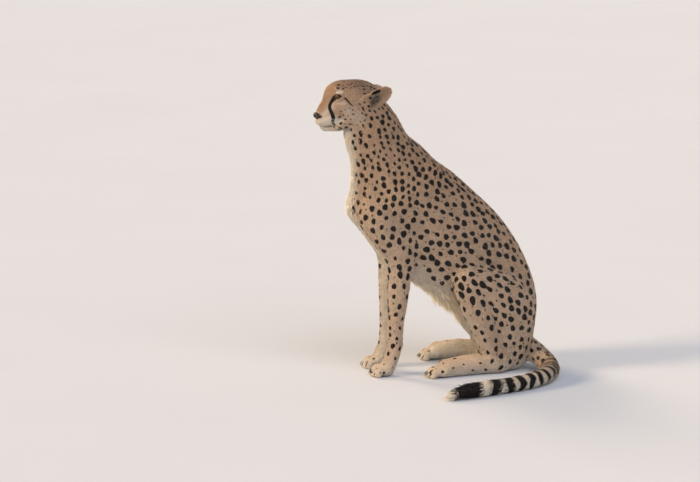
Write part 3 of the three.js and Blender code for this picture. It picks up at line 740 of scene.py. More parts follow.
def hair_lie():
    """The way that the hair lies: from the nose back over the head, down the body and limbs, and out
    along the ears."""
    _, _, lie = outline(points, more=True)
    for _, side in SIDES:
        on_ear = np.clip(1 - ear(points, side) / 10, 0, 1)[:, None]
        lie = lie + (ear_axes(side)[0] - lie) * on_ear
    here, there = neighbours(faces)
    for _ in range(6):
        lie = unit(along_skin(lie, normals))
        lie = lie + sums(here, lie[there], len(points)) * 0.5
    return unit(along_skin(lie, normals))


normals = unit(sums(faces.ravel(), np.repeat(face_normals(), 3, 0), len(points)))
lie = hair_lie()

# ------------------------------------------------------------------------------------------- the markings
# Tawny above and cream below, with solid black spots, black tear lines from the eyes to the mouth, black
# patches behind the ears, and a tail that is spotted, then ringed, and ends in a black band and a white
# tip.


def from_hex(colour):
    """An sRGB colour as linear light."""
    c = np.array([int(colour[i : i + 2], 16) for i in (1, 3, 5)]) / 255
    return np.where(c <= 0.04045, c / 12.92, ((c + 0.055) / 1.055) ** 2.4)


TAWNY, GOLD, SAND = from_hex("#C9A88A"), from_hex("#C28A4C"), from_hex("#DDC3A8")
CREAM, BLACK = from_hex("#F0E6D5"), from_hex("#120B08")


PALE_LINES = [  # a line of places, how wide the pale band is and how far it fades, and how pale it is
    ([(-352, 0, 846), (-360, 0, 752), (-364, 0, 660), (-368, 0, 588), (-330, 0, 510), (-285, 0, 440)],
     24, 40, 1),
    ([(-250, 0, 400), (-130, 0, 360), (-30, 0, 300), (50, 0, 240), (80, 0, 170)], 52, 56, 1),
    ([(-350, 0, 870), (-400, 0, 842), (-440, 0, 846), (-470, 0, 868)], 20, 22, 1),
]
for side in (1, -1):
    PALE_LINES += [
        ([(-452, 20 * side, 878), (-432, 30 * side, 886), (-404, 46 * side, 884)], 11, 15, 0.9),
        ([(-450, 16 * side, 896), (-434, 27 * side, 914), (-424, 33 * side, 934)], 6, 14, 0.62),
        ([(-404, 50 * side, 950), (-384, 60 * side, 947)], 3, 11, 0.5),
        ([(-408, 44 * side, 981), (-392, 52 * side, 983)], 3, 6, 0.85),
        ([(-372, 60 * side, 915), (-340, 66 * side, 890)], 10, 34, 0.4),
    ]


def band(p, line, width):
    """Distance outside a round band along a line of places."""
    return Swept([(*at, width, 1) for at in line], 1, 1, 2).value(p)


def tail_run(p):
    """How far along the tail's line the nearest place is, how far off it, and how far up from it, in
    mm."""
    line = smooth_line(TAIL, 3)
    runs = np.concatenate([[0], np.cumsum(np.linalg.norm(np.diff(line[:, :3], axis=0), axis=1))])
    run, off, up = np.zeros(len(p)), np.full(len(p), 1e9), np.zeros(len(p))
    for a, b, start in zip(line[:-1], line[1:], runs):
        u = b[:3] - a[:3]
        t = np.clip((p - a[:3]) @ u / (u @ u), 0, 1)
        gap = p - a[:3] - t[:, None] * u
        d = np.linalg.norm(gap, axis=1)
        nearer = d < off
        run[nearer] = start + t[nearer] * np.linalg.norm(u)
        up[nearer] = gap[nearer, 2]
        off = np.minimum(off, d)
    return run, off, up


WHITE_TIP = 745  # from here along the tail it is white


def paleness(p, n):
    """How cream the coat is: on the lines above, inside the limbs, underneath, on the paws, and between
    the rings and at the tip of the tail."""
    x, y, z = p.T
    pale = np.zeros(len(p))
    for line, width, fade, most in PALE_LINES:
        pale = np.maximum(pale, most * np.clip(1 - band(p, line, width) / fade, 0, 1) ** 1.3)
    foreleg = (x < -120) & (z < 470) & (np.abs(y) < 125)
    hind = (x > -130) & (x < 250) & (z < 300) & (np.abs(y) < 210)
    inner = np.clip(-np.sign(y) * n[:, 1] * 1.6 + 0.1, 0, 1) * np.maximum(foreleg * 0.8, hind)
    low = np.clip(-n[:, 2] * 1.4 - 0.2, 0, 1) * np.clip((330 - z) / 80, 0, 1)
    paws = np.clip((70 - z) / 50, 0, 1) * 0.55 * (y > -235)
    pale = np.maximum.reduce([pale, inner, low, paws])
    tail = np.nonzero((z < 120) & ((y < -180) | (x > 262)))[0]
    run, _, up = tail_run(p[tail])
    ringed = np.clip((run - 240) / 190, 0, 1) * 0.8 + np.clip(-up / 16, 0, 1) * 0.4
    pale[tail] = np.maximum(ringed, (run > WHITE_TIP) * 1.0)
    return np.clip(pale, 0, 1)


def sizes_off(p, at, size):
    """Distance from a place in sizes of an ellipsoid there: 1 on its surface."""
    return np.linalg.norm((p - np.array(at)) / np.array(size), axis=1)


FOREHEAD_GOLD = ((-392, 0, 985), np.array([60, 44, 44]), 1.2)
BRIDGE_GOLD = ((-432, 0, 936), np.array([40, 22, 34]), 1.2)
DARK_CAP = ((-322, 0, 1012), (72, 70, 52))


def coat_tone(p, n):
    """The coat's ground colour: tawny on the back, sandy down the flanks and limbs, golden on the crown,
    cream below, and darkened by painted shade in the hollow of each ear."""
    height = np.clip((p[:, 2] + 0.55 * p[:, 0] - 260) / 420, 0, 1)[:, None]
    tone = SAND + (TAWNY - SAND) * height
    golden = np.maximum(nearness(p, *FOREHEAD_GOLD) * 0.5, nearness(p, *BRIDGE_GOLD) * 0.75)
    tone = tone + (GOLD - tone) * golden[:, None]
    cap = np.clip(1.6 - 1.1 * sizes_off(p, *DARK_CAP), 0, 1)
    tone = tone * (1 - np.array([0.2, 0.22, 0.2]) * cap[:, None])
    tone = tone + (CREAM - tone) * paleness(p, n)[:, None]
    # painted shade: the coat in the hollow of each ear, in front of its leaf, is darkened by up to 0.82
    for _, side in SIDES:
        u, c, height = ear_place(p, side)
        within = np.clip(1.3 - np.hypot((u - 10) / 27, (c + EAR["mouth"][1]) / 18), 0, 1)
        within = within * ((height > 0.5) & (height < 22) & (side * p[:, 1] > 30) & (p[:, 0] > -330))
        tone = tone * (1 - 0.82 * within[:, None])
    return tone


SPOTS = {"seed": 11, "body": (27.5, 10.9, 1.15)}
SPOT_PLACES = both([  # a place, how far it tells, and there: the gap between spots, their radius, how long
    ((-160, 110, 640), 120, (22, 8.8, 1.15)),  # shoulder
    ((-330, 60, 640), 80, (20, 7.4, 1.1)),  # chest
    ((-250, 80, 780), 110, (16.5, 7.0, 1.15)),  # neck
    ((-190, 16, 930), 70, (10.5, 5.2, 1.4)),
    ((-120, 16, 860), 80, (11, 6.2, 1.5)),  # nape
    ((-40, 14, 755), 85, (13.5, 7.2, 1.6)),  # withers
    ((50, 14, 650), 85, (16.5, 8.6, 1.5)),
    ((130, 14, 530), 85, (19, 9.4, 1.4)),
    ((80, 150, 260), 95, (28, 11.8, 1.5)),  # thigh
    ((-200, 100, 420), 60, (27, 9.4, 1.3)),
    ((-205, 90, 300), 70, (28, 9.6, 1.35)),  # foreleg
    ((-205, 80, 160), 80, (23, 7.2, 1.3)),
    ((-240, 70, 40), 60, (24, 3.6, 1)),
    ((80, 150, 110), 60, (26, 7.6, 1.35)),
    ((20, 150, 40), 110, (36, 4.6, 1.2)),  # foot
    ((-370, 40, 940), 95, (14, 3.3, 1.1)),  # head
    ((-335, 20, 1005), 78, (9.4, 3.7, 1.8)),  # crown
    ((-270, 50, 950), 50, (12.5, 4.4, 1.2)),
    ((-345, 66, 900), 46, (12.5, 4.4, 1.2)),  # cheek
]) + [
    ((270, -50, 90), 60, (20, 7.2, 1.2)), ((300, -140, 40), 70, (21, 7.5, 1.3)),  # tail
    ((300, -210, 35), 60, (22, 7.5, 1.5)),
]
SPECKS = {"radius": 0.36, "gap": 4.2, "apart": 30}  # small spots in the wider spaces between the others


def scatter_spots():
    """Spots no closer than their gap: places are taken in a seeded order, and each keeps its distance.
    Then smaller ones go into the wider spaces. Each is its middle, its three axes, its size, how long it
    is and its rim's phases."""
    rng = np.random.default_rng(SPOTS["seed"])
    plan = by_place(points, SPOTS["body"], SPOT_PLACES)
    pale = paleness(points, normals)
    x, y, z = points.T
    run, off, _ = tail_run(points)
    bare = (pale > 0.55) | (z < np.where(x < 60, 17, 3))  # pale hair and the toes
    bare |= (x < -396 - np.clip(z - 985, 0, 30)) | ((np.abs(y) < 20) & (x < -384))  # muzzle and bridge
    bare |= (x < -322) & (z > 930) & (z < 992) & (np.abs(y) > 30)  # temples
    bare |= ((run > 226) & (off < 48)) | (np.minimum(ear(points, -1), ear(points, 1)) < 6)  # rings and ears
    order = rng.permutation(np.nonzero(~bare)[0])
    kept = np.zeros((len(order), 4))
    chosen = []
    for at in order:
        p, gap = points[at], plan[at, 0]
        if chosen:
            others = kept[: len(chosen)]
            apart = ((others[:, :3] - p) ** 2).sum(1)
            if (apart < ((others[:, 3] + gap) / 2) ** 2).any():
                continue
        kept[len(chosen)] = [*p, gap]
        chosen.append(at)
    chosen = np.array(chosen)
    size = plan[chosen, 1] * rng.uniform(0.78, 1.16, len(chosen)) * (1 - 0.35 * pale[chosen])
    first, specks = points[chosen], []
    for at in order[plan[order, 1] > 6]:
        p, small = points[at], plan[at, 1] * SPECKS["radius"]
        if (np.linalg.norm(first - p, axis=1) < size + small + SPECKS["gap"]).any():
            continue
        if specks and (np.linalg.norm(points[specks] - p, axis=1) < SPECKS["apart"]).any():
            continue
        specks.append(at)
    chosen = np.concatenate([chosen, np.array(specks, int)])
    size = np.concatenate([size, plan[specks, 1] * SPECKS["radius"] * rng.uniform(0.8, 1.3, len(specks))])
    long = np.sqrt(plan[chosen, 2] * rng.uniform(0.92, 1.15, len(chosen)))
    across = np.cross(normals[chosen], lie[chosen])
    wobble = rng.uniform(0, 2 * np.pi, (len(chosen), 2))
    return list(zip(points[chosen], normals[chosen], lie[chosen], across, size, long, wobble))


FAR = 12.0  # no place counts as farther than this from the edge of black, in mm


def spot_edge(p):
    """Distance from the nearest spot's edge. A spot is an ellipse along the hair, its rim waved twice and
    thrice round. Places are sorted into cubes, so that each spot asks only the cubes round its own."""
    edge = np.full(len(p), FAR)
    cell = 30.0
    at = np.array([spot[0] for spot in spots])
    low = np.minimum(p.min(0), at.min(0)) - 2 * cell
    counts = np.ceil((np.maximum(p.max(0), at.max(0)) - low) / cell).astype(int) + 3
    number = np.floor((p - low) / cell).astype(int)
    key = (number[:, 0] * counts[1] + number[:, 1]) * counts[2] + number[:, 2]
    order = np.argsort(key, kind="stable")
    key = key[order]
    home = np.floor((at - low) / cell).astype(int)
    shifts = np.array([(i, j) for i in (-1, 0, 1) for j in (-1, 0, 1)])
    columns = ((home[:, None, 0] + shifts[:, 0]) * counts[1] + home[:, None, 1] + shifts[:, 1]) * counts[2]
    first = np.searchsorted(key, columns + home[:, None, 2] - 1)
    last = np.searchsorted(key, columns + home[:, None, 2] + 2)
    for (middle, n, along, across, size, long, wobble), starts, ends in zip(spots, first, last):
        mine = np.concatenate([order[a:b] for a, b in zip(starts, ends)])
        v = p[mine] - middle
        a, b = v @ along / long, v @ across * long
        turn = np.arctan2(b, a)
        rim = size * (1 + 0.09 * np.sin(2 * turn + wobble[0]) + 0.07 * np.sin(3 * turn + wobble[1]))
        edge[mine] = np.minimum(edge[mine], np.sqrt(a * a + b * b + 0.5 * (v @ n) ** 2) - rim)
    return edge


TEAR = [
    (-411, 37, 964, 6.4, 1), (-420, 34, 953, 5.6, 1), (-427, 33, 942, 5.0, 1), (-430, 33, 930, 5.2, 1),
    (-427, 35, 917, 5.8, 1), (-422, 37, 905, 6.6, 1), (-418, 38, 892, 6.8, 1), (-419, 36, 879, 5.8, 1),
    (-415, 34, 869, 5.0, 1), (-414, 34, 861, 3.8, 1),
]
EYE_STREAK = [
    (-382, 56, 962, 3.0, 1), (-372, 63, 952, 3.4, 1), (-362, 66, 941, 3.0, 1), (-354, 67, 934, 1.6, 1),
]
JAW_STREAK = [
    (-334, 66, 944, 3.0, 1), (-330, 67, 938, 2.6, 1), (-326, 67, 932, 0.3, 1), (-322, 67, 926, 3.2, 1),
    (-318, 67, 919, 2.8, 1), (-315, 67, 912, 0.3, 1), (-312, 66, 904, 3.4, 1), (-311, 66, 900, 2.6, 1),
]
STREAK_SIDEWAYS = 3  # a streak's distance is read mostly in side view, so that it keeps its width
TAIL_RINGS = [  # how far along the tail each dark ring is, and its width
    (238, 12), (271, 13), (305, 15), (341, 17), (379, 20),
    (418, 23), (459, 26), (502, 29), (548, 33), (603, 42),
]
TAIL_TUFT = (706, 48)
NOSE_BLACK = ((-464, 0, 897), (19, 22, 13))
NOSE_WING_BLACK = ((-455, 15, 893.5), (12, 10, 8.5))
LIP_DOTS = {"rows": 4, "along": 5, "radius": 1.3}


def dark_edge(p):
    """Distance from the edge of whatever is black: under 0 in a spot, ring, tear line, lip or lid rim."""
    edge = spot_edge(p)
    run, off, up = tail_run(p)
    on_tail = (off < 52) & (run > 150)
    rings = np.full(len(p), FAR)
    for k, (middle, width) in enumerate(TAIL_RINGS):
        under = np.clip(-up / 14, 0, 1.5) * (10 - 1.1 * k)
        rings = np.minimum(rings, np.abs(run - middle + 4 * np.sin(up / 9 + 2 * k)) - width / 2 + under)
    rings = np.minimum(rings, np.abs(run - TAIL_TUFT[0]) - TAIL_TUFT[1])
    edge = np.where(on_tail, np.minimum(np.where(run > 228, FAR, edge), rings), edge)
    face = np.nonzero((p[:, 0] < -296) & (p[:, 2] > 840))[0]
    q, e = p[face], edge[face]
    for _, side in SIDES:
        mine = side * q[:, 1] > 4
        for stations in (TEAR, EYE_STREAK, JAW_STREAK):
            streak = Swept([(x, y, z, r, STREAK_SIDEWAYS) for x, y, z, r, _ in stations], 1, side)
            e = np.where(mine, np.minimum(e, streak.value(q)), e)
        rho, a, b, ahead = eye_place(q, side)
        e = np.where((ahead > 0) & (rho < 26), np.minimum(e, lid_gap(a, b) - 3.4), e)
    for crease in CREASES:
        e = np.minimum(e, crease.value(q) - 0.9)
    e = np.minimum(e, (sizes_off(q, *NOSE_BLACK) - 1) * 14)
    for _, side in SIDES:
        at, size = NOSE_WING_BLACK
        e = np.minimum(e, (sizes_off(q, on_side(at, side), size) - 1) * 10)
        for row in range(LIP_DOTS["rows"]):
            for k in range(LIP_DOTS["along"]):
                dot = on_side((-462 + 8.5 * k + row, 17 + 3.2 * k, 889 - 5.5 * row), side)
                e = np.minimum(e, np.linalg.norm(q - dot, axis=1) - LIP_DOTS["radius"])
    edge[face] = e
    ears = np.nonzero((p[:, 0] > -320) & (p[:, 0] < -190) & (p[:, 2] > 930))[0]
    q = p[ears]
    for _, side in SIDES:
        u, c, height = ear_place(q, side)
        patch = np.sqrt(((u - 22) / 21) ** 2 + (c / 27) ** 2) * 22 - 22
        upper = np.sign(ear_axes(side)[1][2]) * c
        rim = np.sqrt(((u - 33) / 17) ** 2 + ((upper - 20) / 12) ** 2) * 14 - 14
        patch = np.where(height < 0.2, patch, rim)
        behind = (height < 14) & (ear(q, side) < 7)
        edge[ears] = np.where(behind, np.minimum(edge[ears], patch), edge[ears])
    return np.clip(edge, -FAR, FAR)


def store(thing, name, kind, values):
    """Keeps values at the points of a piece, for its material to read."""
    attribute = thing.data.attributes.new(name, kind, "POINT")
    field = {"FLOAT": "value", "FLOAT_VECTOR": "vector", "FLOAT_COLOR": "color"}[kind]
    attribute.data.foreach_set(field, np.ascontiguousarray(values, np.float32).ravel())


def store_tone(thing, tone):
    store(thing, "tone", "FLOAT_COLOR", np.hstack([tone.reshape(-1, 3), np.ones((tone.size // 3, 1))]))


spots = scatter_spots()
# painted shade: the skin's colour is darkened under the tufts, as though shaded by them
SHADE_UNDER_TUFTS = 0.86  # between the tufts the coat is darker
store_tone(skin, coat_tone(points, normals) * SHADE_UNDER_TUFTS)
store(skin, "dark_edge", "FLOAT", dark_edge(points))
store(skin, "lie", "FLOAT_VECTOR", lie)


def add_node(tree, kind, inputs, **settings):
    """Adds a node with its settings; each input, by name or number, takes a value or a link from
    another's socket."""
    made = tree.nodes.new(kind)
    for name, value in settings.items():
        setattr(made, name, value)
    for name, value in inputs.items():
        if isinstance(value, bpy.types.NodeSocket):
            tree.links.new(value, made.inputs[name])
        else:
            made.inputs[name].default_value = value
    return made


def new_material(name):
    """An empty material, ready for its nodes."""
    material = bpy.data.materials.new(name)
    material.use_nodes = True
    material.node_tree.nodes.clear()
    return material, material.node_tree


def finish(material, tree, inputs):
    """Ends a material with its shader."""
    shader = add_node(tree, "ShaderNodeBsdfPrincipled", inputs)
    add_node(tree, "ShaderNodeOutputMaterial", {"Surface": shader.outputs["BSDF"]})
    return material


def coat_colour(tree, place):
    """The ground colour, mottled in patches of 26 mm, and black where the edge's distance is under
    nothing. Single hairs 2.4 mm apart make that edge ragged by 1.2 mm either way."""
    tone = add_node(tree, "ShaderNodeAttribute", {}, attribute_name="tone").outputs["Color"]
    edge = add_node(tree, "ShaderNodeAttribute", {}, attribute_name="dark_edge").outputs["Fac"]
    ragged = add_node(tree, "ShaderNodeTexNoise", {"Vector": place, "Scale": 420.0, "Detail": 2.0})
    inputs = {0: ragged.outputs["Fac"], 1: 2.4, 2: -1.2}
    wander = add_node(tree, "ShaderNodeMath", inputs, operation="MULTIPLY_ADD")
    moved = add_node(tree, "ShaderNodeMath", {0: edge, 1: wander.outputs[0]})
    share = add_node(tree, "ShaderNodeMapRange", {
        "Value": moved.outputs[0], "From Min": -0.9, "From Max": 0.7, "To Min": 1.0, "To Max": 0.0,
    })
    mottle = add_node(tree, "ShaderNodeTexNoise", {"Vector": place, "Scale": 38.0, "Detail": 4.0})
    dapple = add_node(tree, "ShaderNodeMapRange", {
        "Value": mottle.outputs["Fac"], "From Min": 0.3, "From Max": 0.7, "To Min": 0.9, "To Max": 1.08,
    })
    ground = add_node(tree, "ShaderNodeVectorMath", {0: tone, 1: dapple.outputs[0]}, operation="MULTIPLY")
    return add_node(tree, "ShaderNodeMix", {
        0: share.outputs[0], 6: ground.outputs[0], 7: (*BLACK, 1),
    }, data_type="RGBA").outputs[2]


def hide_material():
    """Hide under close fur: matt, with hair-fine furrows along the lie, 0.5 mm apart but drawn 1 mm so
    that they show."""
    material, tree = new_material("short fur")
    place = add_node(tree, "ShaderNodeTexCoord", {}).outputs["Object"]
    colour = coat_colour(tree, place)
    lie_at = add_node(tree, "ShaderNodeAttribute", {}, attribute_name="lie").outputs["Vector"]
    squares = add_node(tree, "ShaderNodeVectorMath", {0: lie_at, 1: lie_at}, operation="MULTIPLY")
    shares = add_node(tree, "ShaderNodeSeparateXYZ", {0: squares.outputs[0]})
    total = None
    for axis in range(3):
        scale = [130.0 if i == axis else 900.0 for i in range(3)]
        run = add_node(tree, "ShaderNodeMapping", {"Vector": place, "Scale": scale})
        inputs = {"Vector": run.outputs[0], "Scale": 1.0, "Detail": 2.0}
        streak = add_node(tree, "ShaderNodeTexNoise", inputs)
        inputs = {0: streak.outputs["Fac"], 1: shares.outputs[axis]}
        part = add_node(tree, "ShaderNodeMath", inputs, operation="MULTIPLY").outputs[0]
        total = part if total is None else add_node(tree, "ShaderNodeMath", {0: total, 1: part}).outputs[0]
    bump = add_node(tree, "ShaderNodeBump", {"Height": total, "Strength": 0.7, "Distance": 0.0012})
    return finish(material, tree, {
        "Base Color": colour, "Normal": bump.outputs[0], "Roughness": 0.72, "IOR": 1.45,
        "Specular IOR Level": 0.2, "Sheen Weight": 0.1, "Sheen Roughness": 0.5,
    })


skin.data.materials.append(hide_material())

# ----------------------------------------------------------------------------------------------- the coat
# Guard hair in flat tufts that lie down the body like thatch, over the skin. Each tuft is a thin closed
# blade, sunk at its root, widest before its middle, and pointed at a tip that reaches the coat's outline.

TUFT = {"seed": 5, "body": (14.0, 2.5, 9.5)}  # on the body: length and width, and how many per cm2
TUFT_PLACES = both([  # a place, how far it tells, and there: length and width in mm, and how many per cm2
    ((-385, 40, 930), 90, (7.5, 1.35, 22)),  # face
    ((-330, 40, 990), 70, (8.5, 1.5, 19)),  # crown
    ((-445, 18, 885), 42, (4.6, 0.95, 36)),  # muzzle
    ((-425, 40, 966), 30, (4.2, 0.9, 36)),  # round the eyes
    ((-250, 70, 985), 45, (7.5, 1.2, 24)),  # ears
    ((-340, 62, 885), 42, (13, 1.7, 16)),
    ((-205, 80, 300), 120, (11, 2.1, 12)),  # forelegs
    ((-215, 75, 110), 80, (9.5, 1.8, 15)),
    ((-265, 70, 20), 75, (6.5, 1.4, 22)),  # forepaws
    ((80, 130, 110), 80, (11, 2, 12)),
    ((0, 135, 25), 110, (7, 1.5, 20)),  # hind feet
]) + [((150, -330, 26), 190, (12, 2.1, 12))]
TUFT_SLIP = {"yaw": 0.22, "sunk": 0.6, "ring": 0.42, "off_floor": 0.4}
BLADE = np.array([(0, 1, 3), (0, 3, 2), (0, 2, 1), (4, 3, 1), (4, 2, 3), (4, 1, 2)])
BLADE_SPAN = np.array([(0, -0.5), (-0.4, 0), (0.4, 0), (0, 0), (0, 0.5)])
# painted shading on each tuft's corners: painted shade at the sunk root, a painted highlight on the ridge
# and at the tip
BLADE_PAINTED_SHADING = np.array([0.82, 0.98, 0.98, 1.02, 1.08])
PATCH = 0.003  # a tuft's own patch of the skin's layout is about this wide


def at_roots(values, face, share):
    """A value at each root, from the three corners of its face."""
    return (values[faces[face]] * share[:, :, None]).sum(1)


def sow(rng, base, places, taken):
    """Roots spread over the skin: each face gets its area times the density, and a root a random place on
    it. Gives the face, the shares of its corners, the root, the normal, and the lie for those that are
    taken."""
    area = np.linalg.norm(face_normals(), axis=1) / 200  # in cm2
    density = by_place(points[faces].mean(1), base, places)[:, 2]
    face = np.repeat(np.arange(len(faces)), np.floor(area * density + rng.random(len(faces))).astype(int))
    r, s = np.sqrt(rng.random(len(face))), rng.random(len(face))
    share = np.stack([1 - r, r * (1 - s), r * s], 1)
    keep = taken(at_roots(points, face, share))
    face, share = face[keep], share[keep]
    n = unit(at_roots(normals, face, share))
    return face, share, at_roots(points, face, share), n, along_skin(at_roots(lie, face, share), n)


def marked(at, n, light):
    """The ground colour and the distance from black at each corner of each tuft, scaled by light: a
    random tone for each tuft times painted shade towards its root and painted highlight towards its tip."""
    flat = at.reshape(-1, 3)
    tone = coat_tone(flat, np.repeat(n, at.shape[1], 0)).reshape(at.shape)
    return tone * light, dark_edge(flat).reshape(at.shape[:2])


def patch_uv(face, share, spans):
    """Each tuft's own patch of the skin's layout, at its root's place. spans is each corner's step on
    it."""
    root = (skin_flat[face] * share[:, :, None]).sum(1)
    return root[:, None] + spans[None] * PATCH


def tufts(name, shape, verts, uv, material):
    """One piece of many tufts that are alike: the faces of one, and the corners of all with their
    patches."""
    count, corners = verts.shape[:2]
    polygons = (shape[None] + corners * np.arange(count)[:, None, None]).reshape(-1, 3)
    made = new_mesh(name, verts.reshape(-1, 3), polygons)
    layer = made.data.uv_layers.new(name="OFBake")
    layer.data.foreach_set("uv", uv.reshape(-1, 2)[polygons.ravel()].astype(np.float32).ravel())
    made.data.materials.append(material)
    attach(made, "root")
    return made


def coat_piece(name, shape, verts, uv, tone, edge):
    """Tufts of guard hair, with their colours at their corners."""
    made = tufts(name, shape, verts, uv, HAIR)
    store_tone(made, tone)
    store(made, "dark_edge", "FLOAT", edge)


def hair_material():
    """Guard hair, seen as locks: a soft gloss along it, and fine lengthwise ridges."""
    material, tree = new_material("guard hair")
    place = add_node(tree, "ShaderNodeTexCoord", {}).outputs["Object"]
    colour = coat_colour(tree, place)
    ridges = add_node(tree, "ShaderNodeTexNoise", {"Vector": place, "Scale": 900.0, "Detail": 2.0})
    inputs = {"Height": ridges.outputs["Fac"], "Strength": 0.3, "Distance": 0.0006}
    bump = add_node(tree, "ShaderNodeBump", inputs)
    return finish(material, tree, {
        "Base Color": colour, "Normal": bump.outputs[0], "Roughness": 0.58, "IOR": 1.5,
        "Specular IOR Level": 0.26, "Sheen Weight": 0.12, "Sheen Roughness": 0.4,
    })


HAIR = hair_material()
CLAW = {"length": 20, "radius": 3.6, "rise": 8.3, "forward": 1.8, "first": 14, "last": 68}
CLAW_BARE = {"run": 16, "fall": 0.55, "radius": 4.3}
NOSE_BARE = ((-466, 0, 899), (14.5, 17, 11))


def claw_roots():
    """Where each claw leaves its toe, foot by foot: the hair is parted there, and the claws are set there
    later."""
    roots = {}
    for name, side in SIDES:
        back, out = foot_shift(side)
        feet = {f"forepaw_{name}": toe_lines(FOREPAW), f"hind_foot_{name}": toe_lines(HINDPAW, back, out)}
        for foot, lines in feet.items():
            tips = [line[-1] for line in lines]
            steps = (-CLAW["forward"], 0, CLAW["rise"])
            roots[foot] = [on_side(np.add(tip[:3], steps), side) for tip in tips]
    return roots


def bare_places(p):
    """Places with no hair: in the slit of the eye, on the nose, in the mouth's fold and along each
    claw."""
    bare = sizes_off(p, *NOSE_BARE) < 1
    for _, side in SIDES:
        rho, a, b, ahead = eye_place(p, side)
        bare |= (ahead > 0) & (rho < 24) & (lid_gap(a, b) < 0.8)
    for crease in CREASES:
        bare |= crease.value(p) < 0.4
    low = np.nonzero(p[:, 2] < 50)[0]
    for roots in claw_roots().values():
        for root in roots:
            v = p[low] - root
            t = np.clip(-v[:, 0], 0, CLAW_BARE["run"])
            off = np.linalg.norm(v + np.stack([t, 0 * t, CLAW_BARE["fall"] * t], 1), axis=1)
            bare[low] |= off < CLAW_BARE["radius"]
    return bare


PARTS = ["head_left", "head_right", "neck", "trunk_left", "trunk_right"]
PARTS += ["forelegs", "hind_left", "hind_right", "tail"]


def body_part(p):
    """Which piece of the coat a place belongs to, by its number in PARTS."""
    x, y, z = p.T
    above_neck = z > 838 + (x + 390) * 0.848
    above_chest = z > 606 + (x + 362) * 0.592
    left = y < 0
    part = np.where(left, 3, 4)
    part[above_chest] = 2
    part[above_neck & left] = 0
    part[above_neck & ~left] = 1
    part[(x < -120) & (z < 430)] = 5
    hind = (z < 330) & (x > -150) & (np.abs(y) > 20)
    part[hind & left] = 6
    part[hind & ~left] = 7
    run, off, _ = tail_run(p)
    part[(off < 50) & (run > 60) & ((y < -100) | (x > 235))] = 8
    return part


def short_coat():
    """Each tuft: root, then left, right and ridge points two fifths along, then the tip, turned a little
    at random. No tuft reaches below the floor."""
    rng = np.random.default_rng(TUFT["seed"])

    def taken(p):
        return ~bare_places(p) & (p[:, 2] > 1.5)

    face, share, root, n, way = sow(rng, TUFT["body"], TUFT_PLACES, taken)
    way, count = unit(way), len(root)
    length, width, _ = by_place(root, TUFT["body"], TUFT_PLACES).T * rng.uniform(0.8, 1.2, (3, count))
    depth = np.minimum(coat_depth(root), 0.42 * length)
    yaw = rng.normal(0, TUFT_SLIP["yaw"], count)[:, None]
    way = way * np.cos(yaw) + np.cross(n, way) * np.sin(yaw)
    tip_height = depth * rng.uniform(0.7, 1.05, count)
    tip = root + way * length[:, None]
    tip += n * (tip_height - hide(tip))[:, None]
    ring = root + (tip - root) * TUFT_SLIP["ring"] + n * (0.12 * depth)[:, None]
    half = np.cross(n, way) * (width / 2)[:, None]
    ridge = ring + n * (0.2 * width)[:, None]
    verts = np.stack([root - n * TUFT_SLIP["sunk"], ring - half, ring + half, ridge, tip], 1)
    verts[..., 2] += np.maximum(TUFT_SLIP["off_floor"] - verts[..., 2].min(1), 0)[:, None]
    # a random tone for each tuft, times painted shade at its root and a painted highlight on its ridge and
    # tip
    light = rng.uniform(0.86, 1.12, count)[:, None, None] * BLADE_PAINTED_SHADING[None, :, None]
    tone, edge = marked(verts, n, light)
    uv = patch_uv(face, share, BLADE_SPAN)
    parts = body_part(root)
    for i, name in enumerate(PARTS):
        mine = parts == i
        coat_piece(f"coat_{name}", BLADE, verts[mine], uv[mine], tone[mine], edge[mine])


short_coat()

# ----------------------------------------------------------------------------------------- the long locks
# Longer, looser hair: a pale fringe under the belly, a bib down the throat and chest, ruffs on the
# cheeks, a low mane on the nape, feathering behind the elbows and thighs, the tail's bushy end, and the
# fringe inside the ears. Each lock is a closed three-sided spindle that bends down under its own weight.

LOCKS = {"seed": 23, "none": (12.0, 2.0, 0.0, 0.2, 0.2)}  # away from the places below there are none
LOCK_PLACES = both([  # a place, how far it tells, and there: length, width, how many per cm2, lift, droop
    ((-34, 25, 268), 62, (46, 3.0, 6.5, 0.42, 0.8)),  # belly
    ((22, 30, 216), 46, (38, 3.0, 6.0, 0.42, 0.8)),
    ((-98, 22, 318), 50, (30, 2.8, 4.2, 0.3, 0.7)),
    ((-350, 22, 800), 50, (20, 2.2, 2.6, 0.28, 0.35)),  # throat
    ((-362, 24, 700), 60, (22, 2.4, 2.6, 0.26, 0.35)),
    ((-362, 24, 590), 62, (24, 2.6, 2.8, 0.26, 0.4)),  # chest
    ((-300, 30, 480), 50, (22, 2.4, 2.4, 0.25, 0.4)),
    ((-318, 62, 878), 34, (17, 1.7, 5.0, 0.3, 0.3)),  # cheek
    ((-205, 16, 952), 44, (17, 2.0, 2.6, 0.32, 0)), ((-120, 14, 868), 56, (19, 2.2, 2.6, 0.3, 0)),  # nape
    ((-40, 12, 770), 56, (17, 2.2, 2.0, 0.25, 0)),  # withers
    ((-150, 72, 400), 36, (19, 2.1, 2.6, 0.3, 0.4)),  # elbow
    ((-165, 72, 300), 34, (13, 1.8, 2.0, 0.25, 0.4)),
    ((250, 70, 80), 60, (20, 2.3, 2.2, 0.25, 0.4)),
    ((66, 60, 130), 46, (15, 2.0, 2.2, 0.25, 0.5)),  # inside of the shank
]) + [((60, -418, 26), 80, (24, 2.0, 6.0, 0.26, 0.1)), ((-30, -450, 26), 85, (28, 1.9, 9.5, 0.28, 0.05)),
      ((-92, -474, 20), 44, (34, 1.9, 12.0, 0.3, 0.0))]
LOCK_STEPS = np.array([0.0, 0.28, 0.58, 0.82, 1.0])
LOCK_WIDTHS = np.array([0.75, 1.0, 0.7])
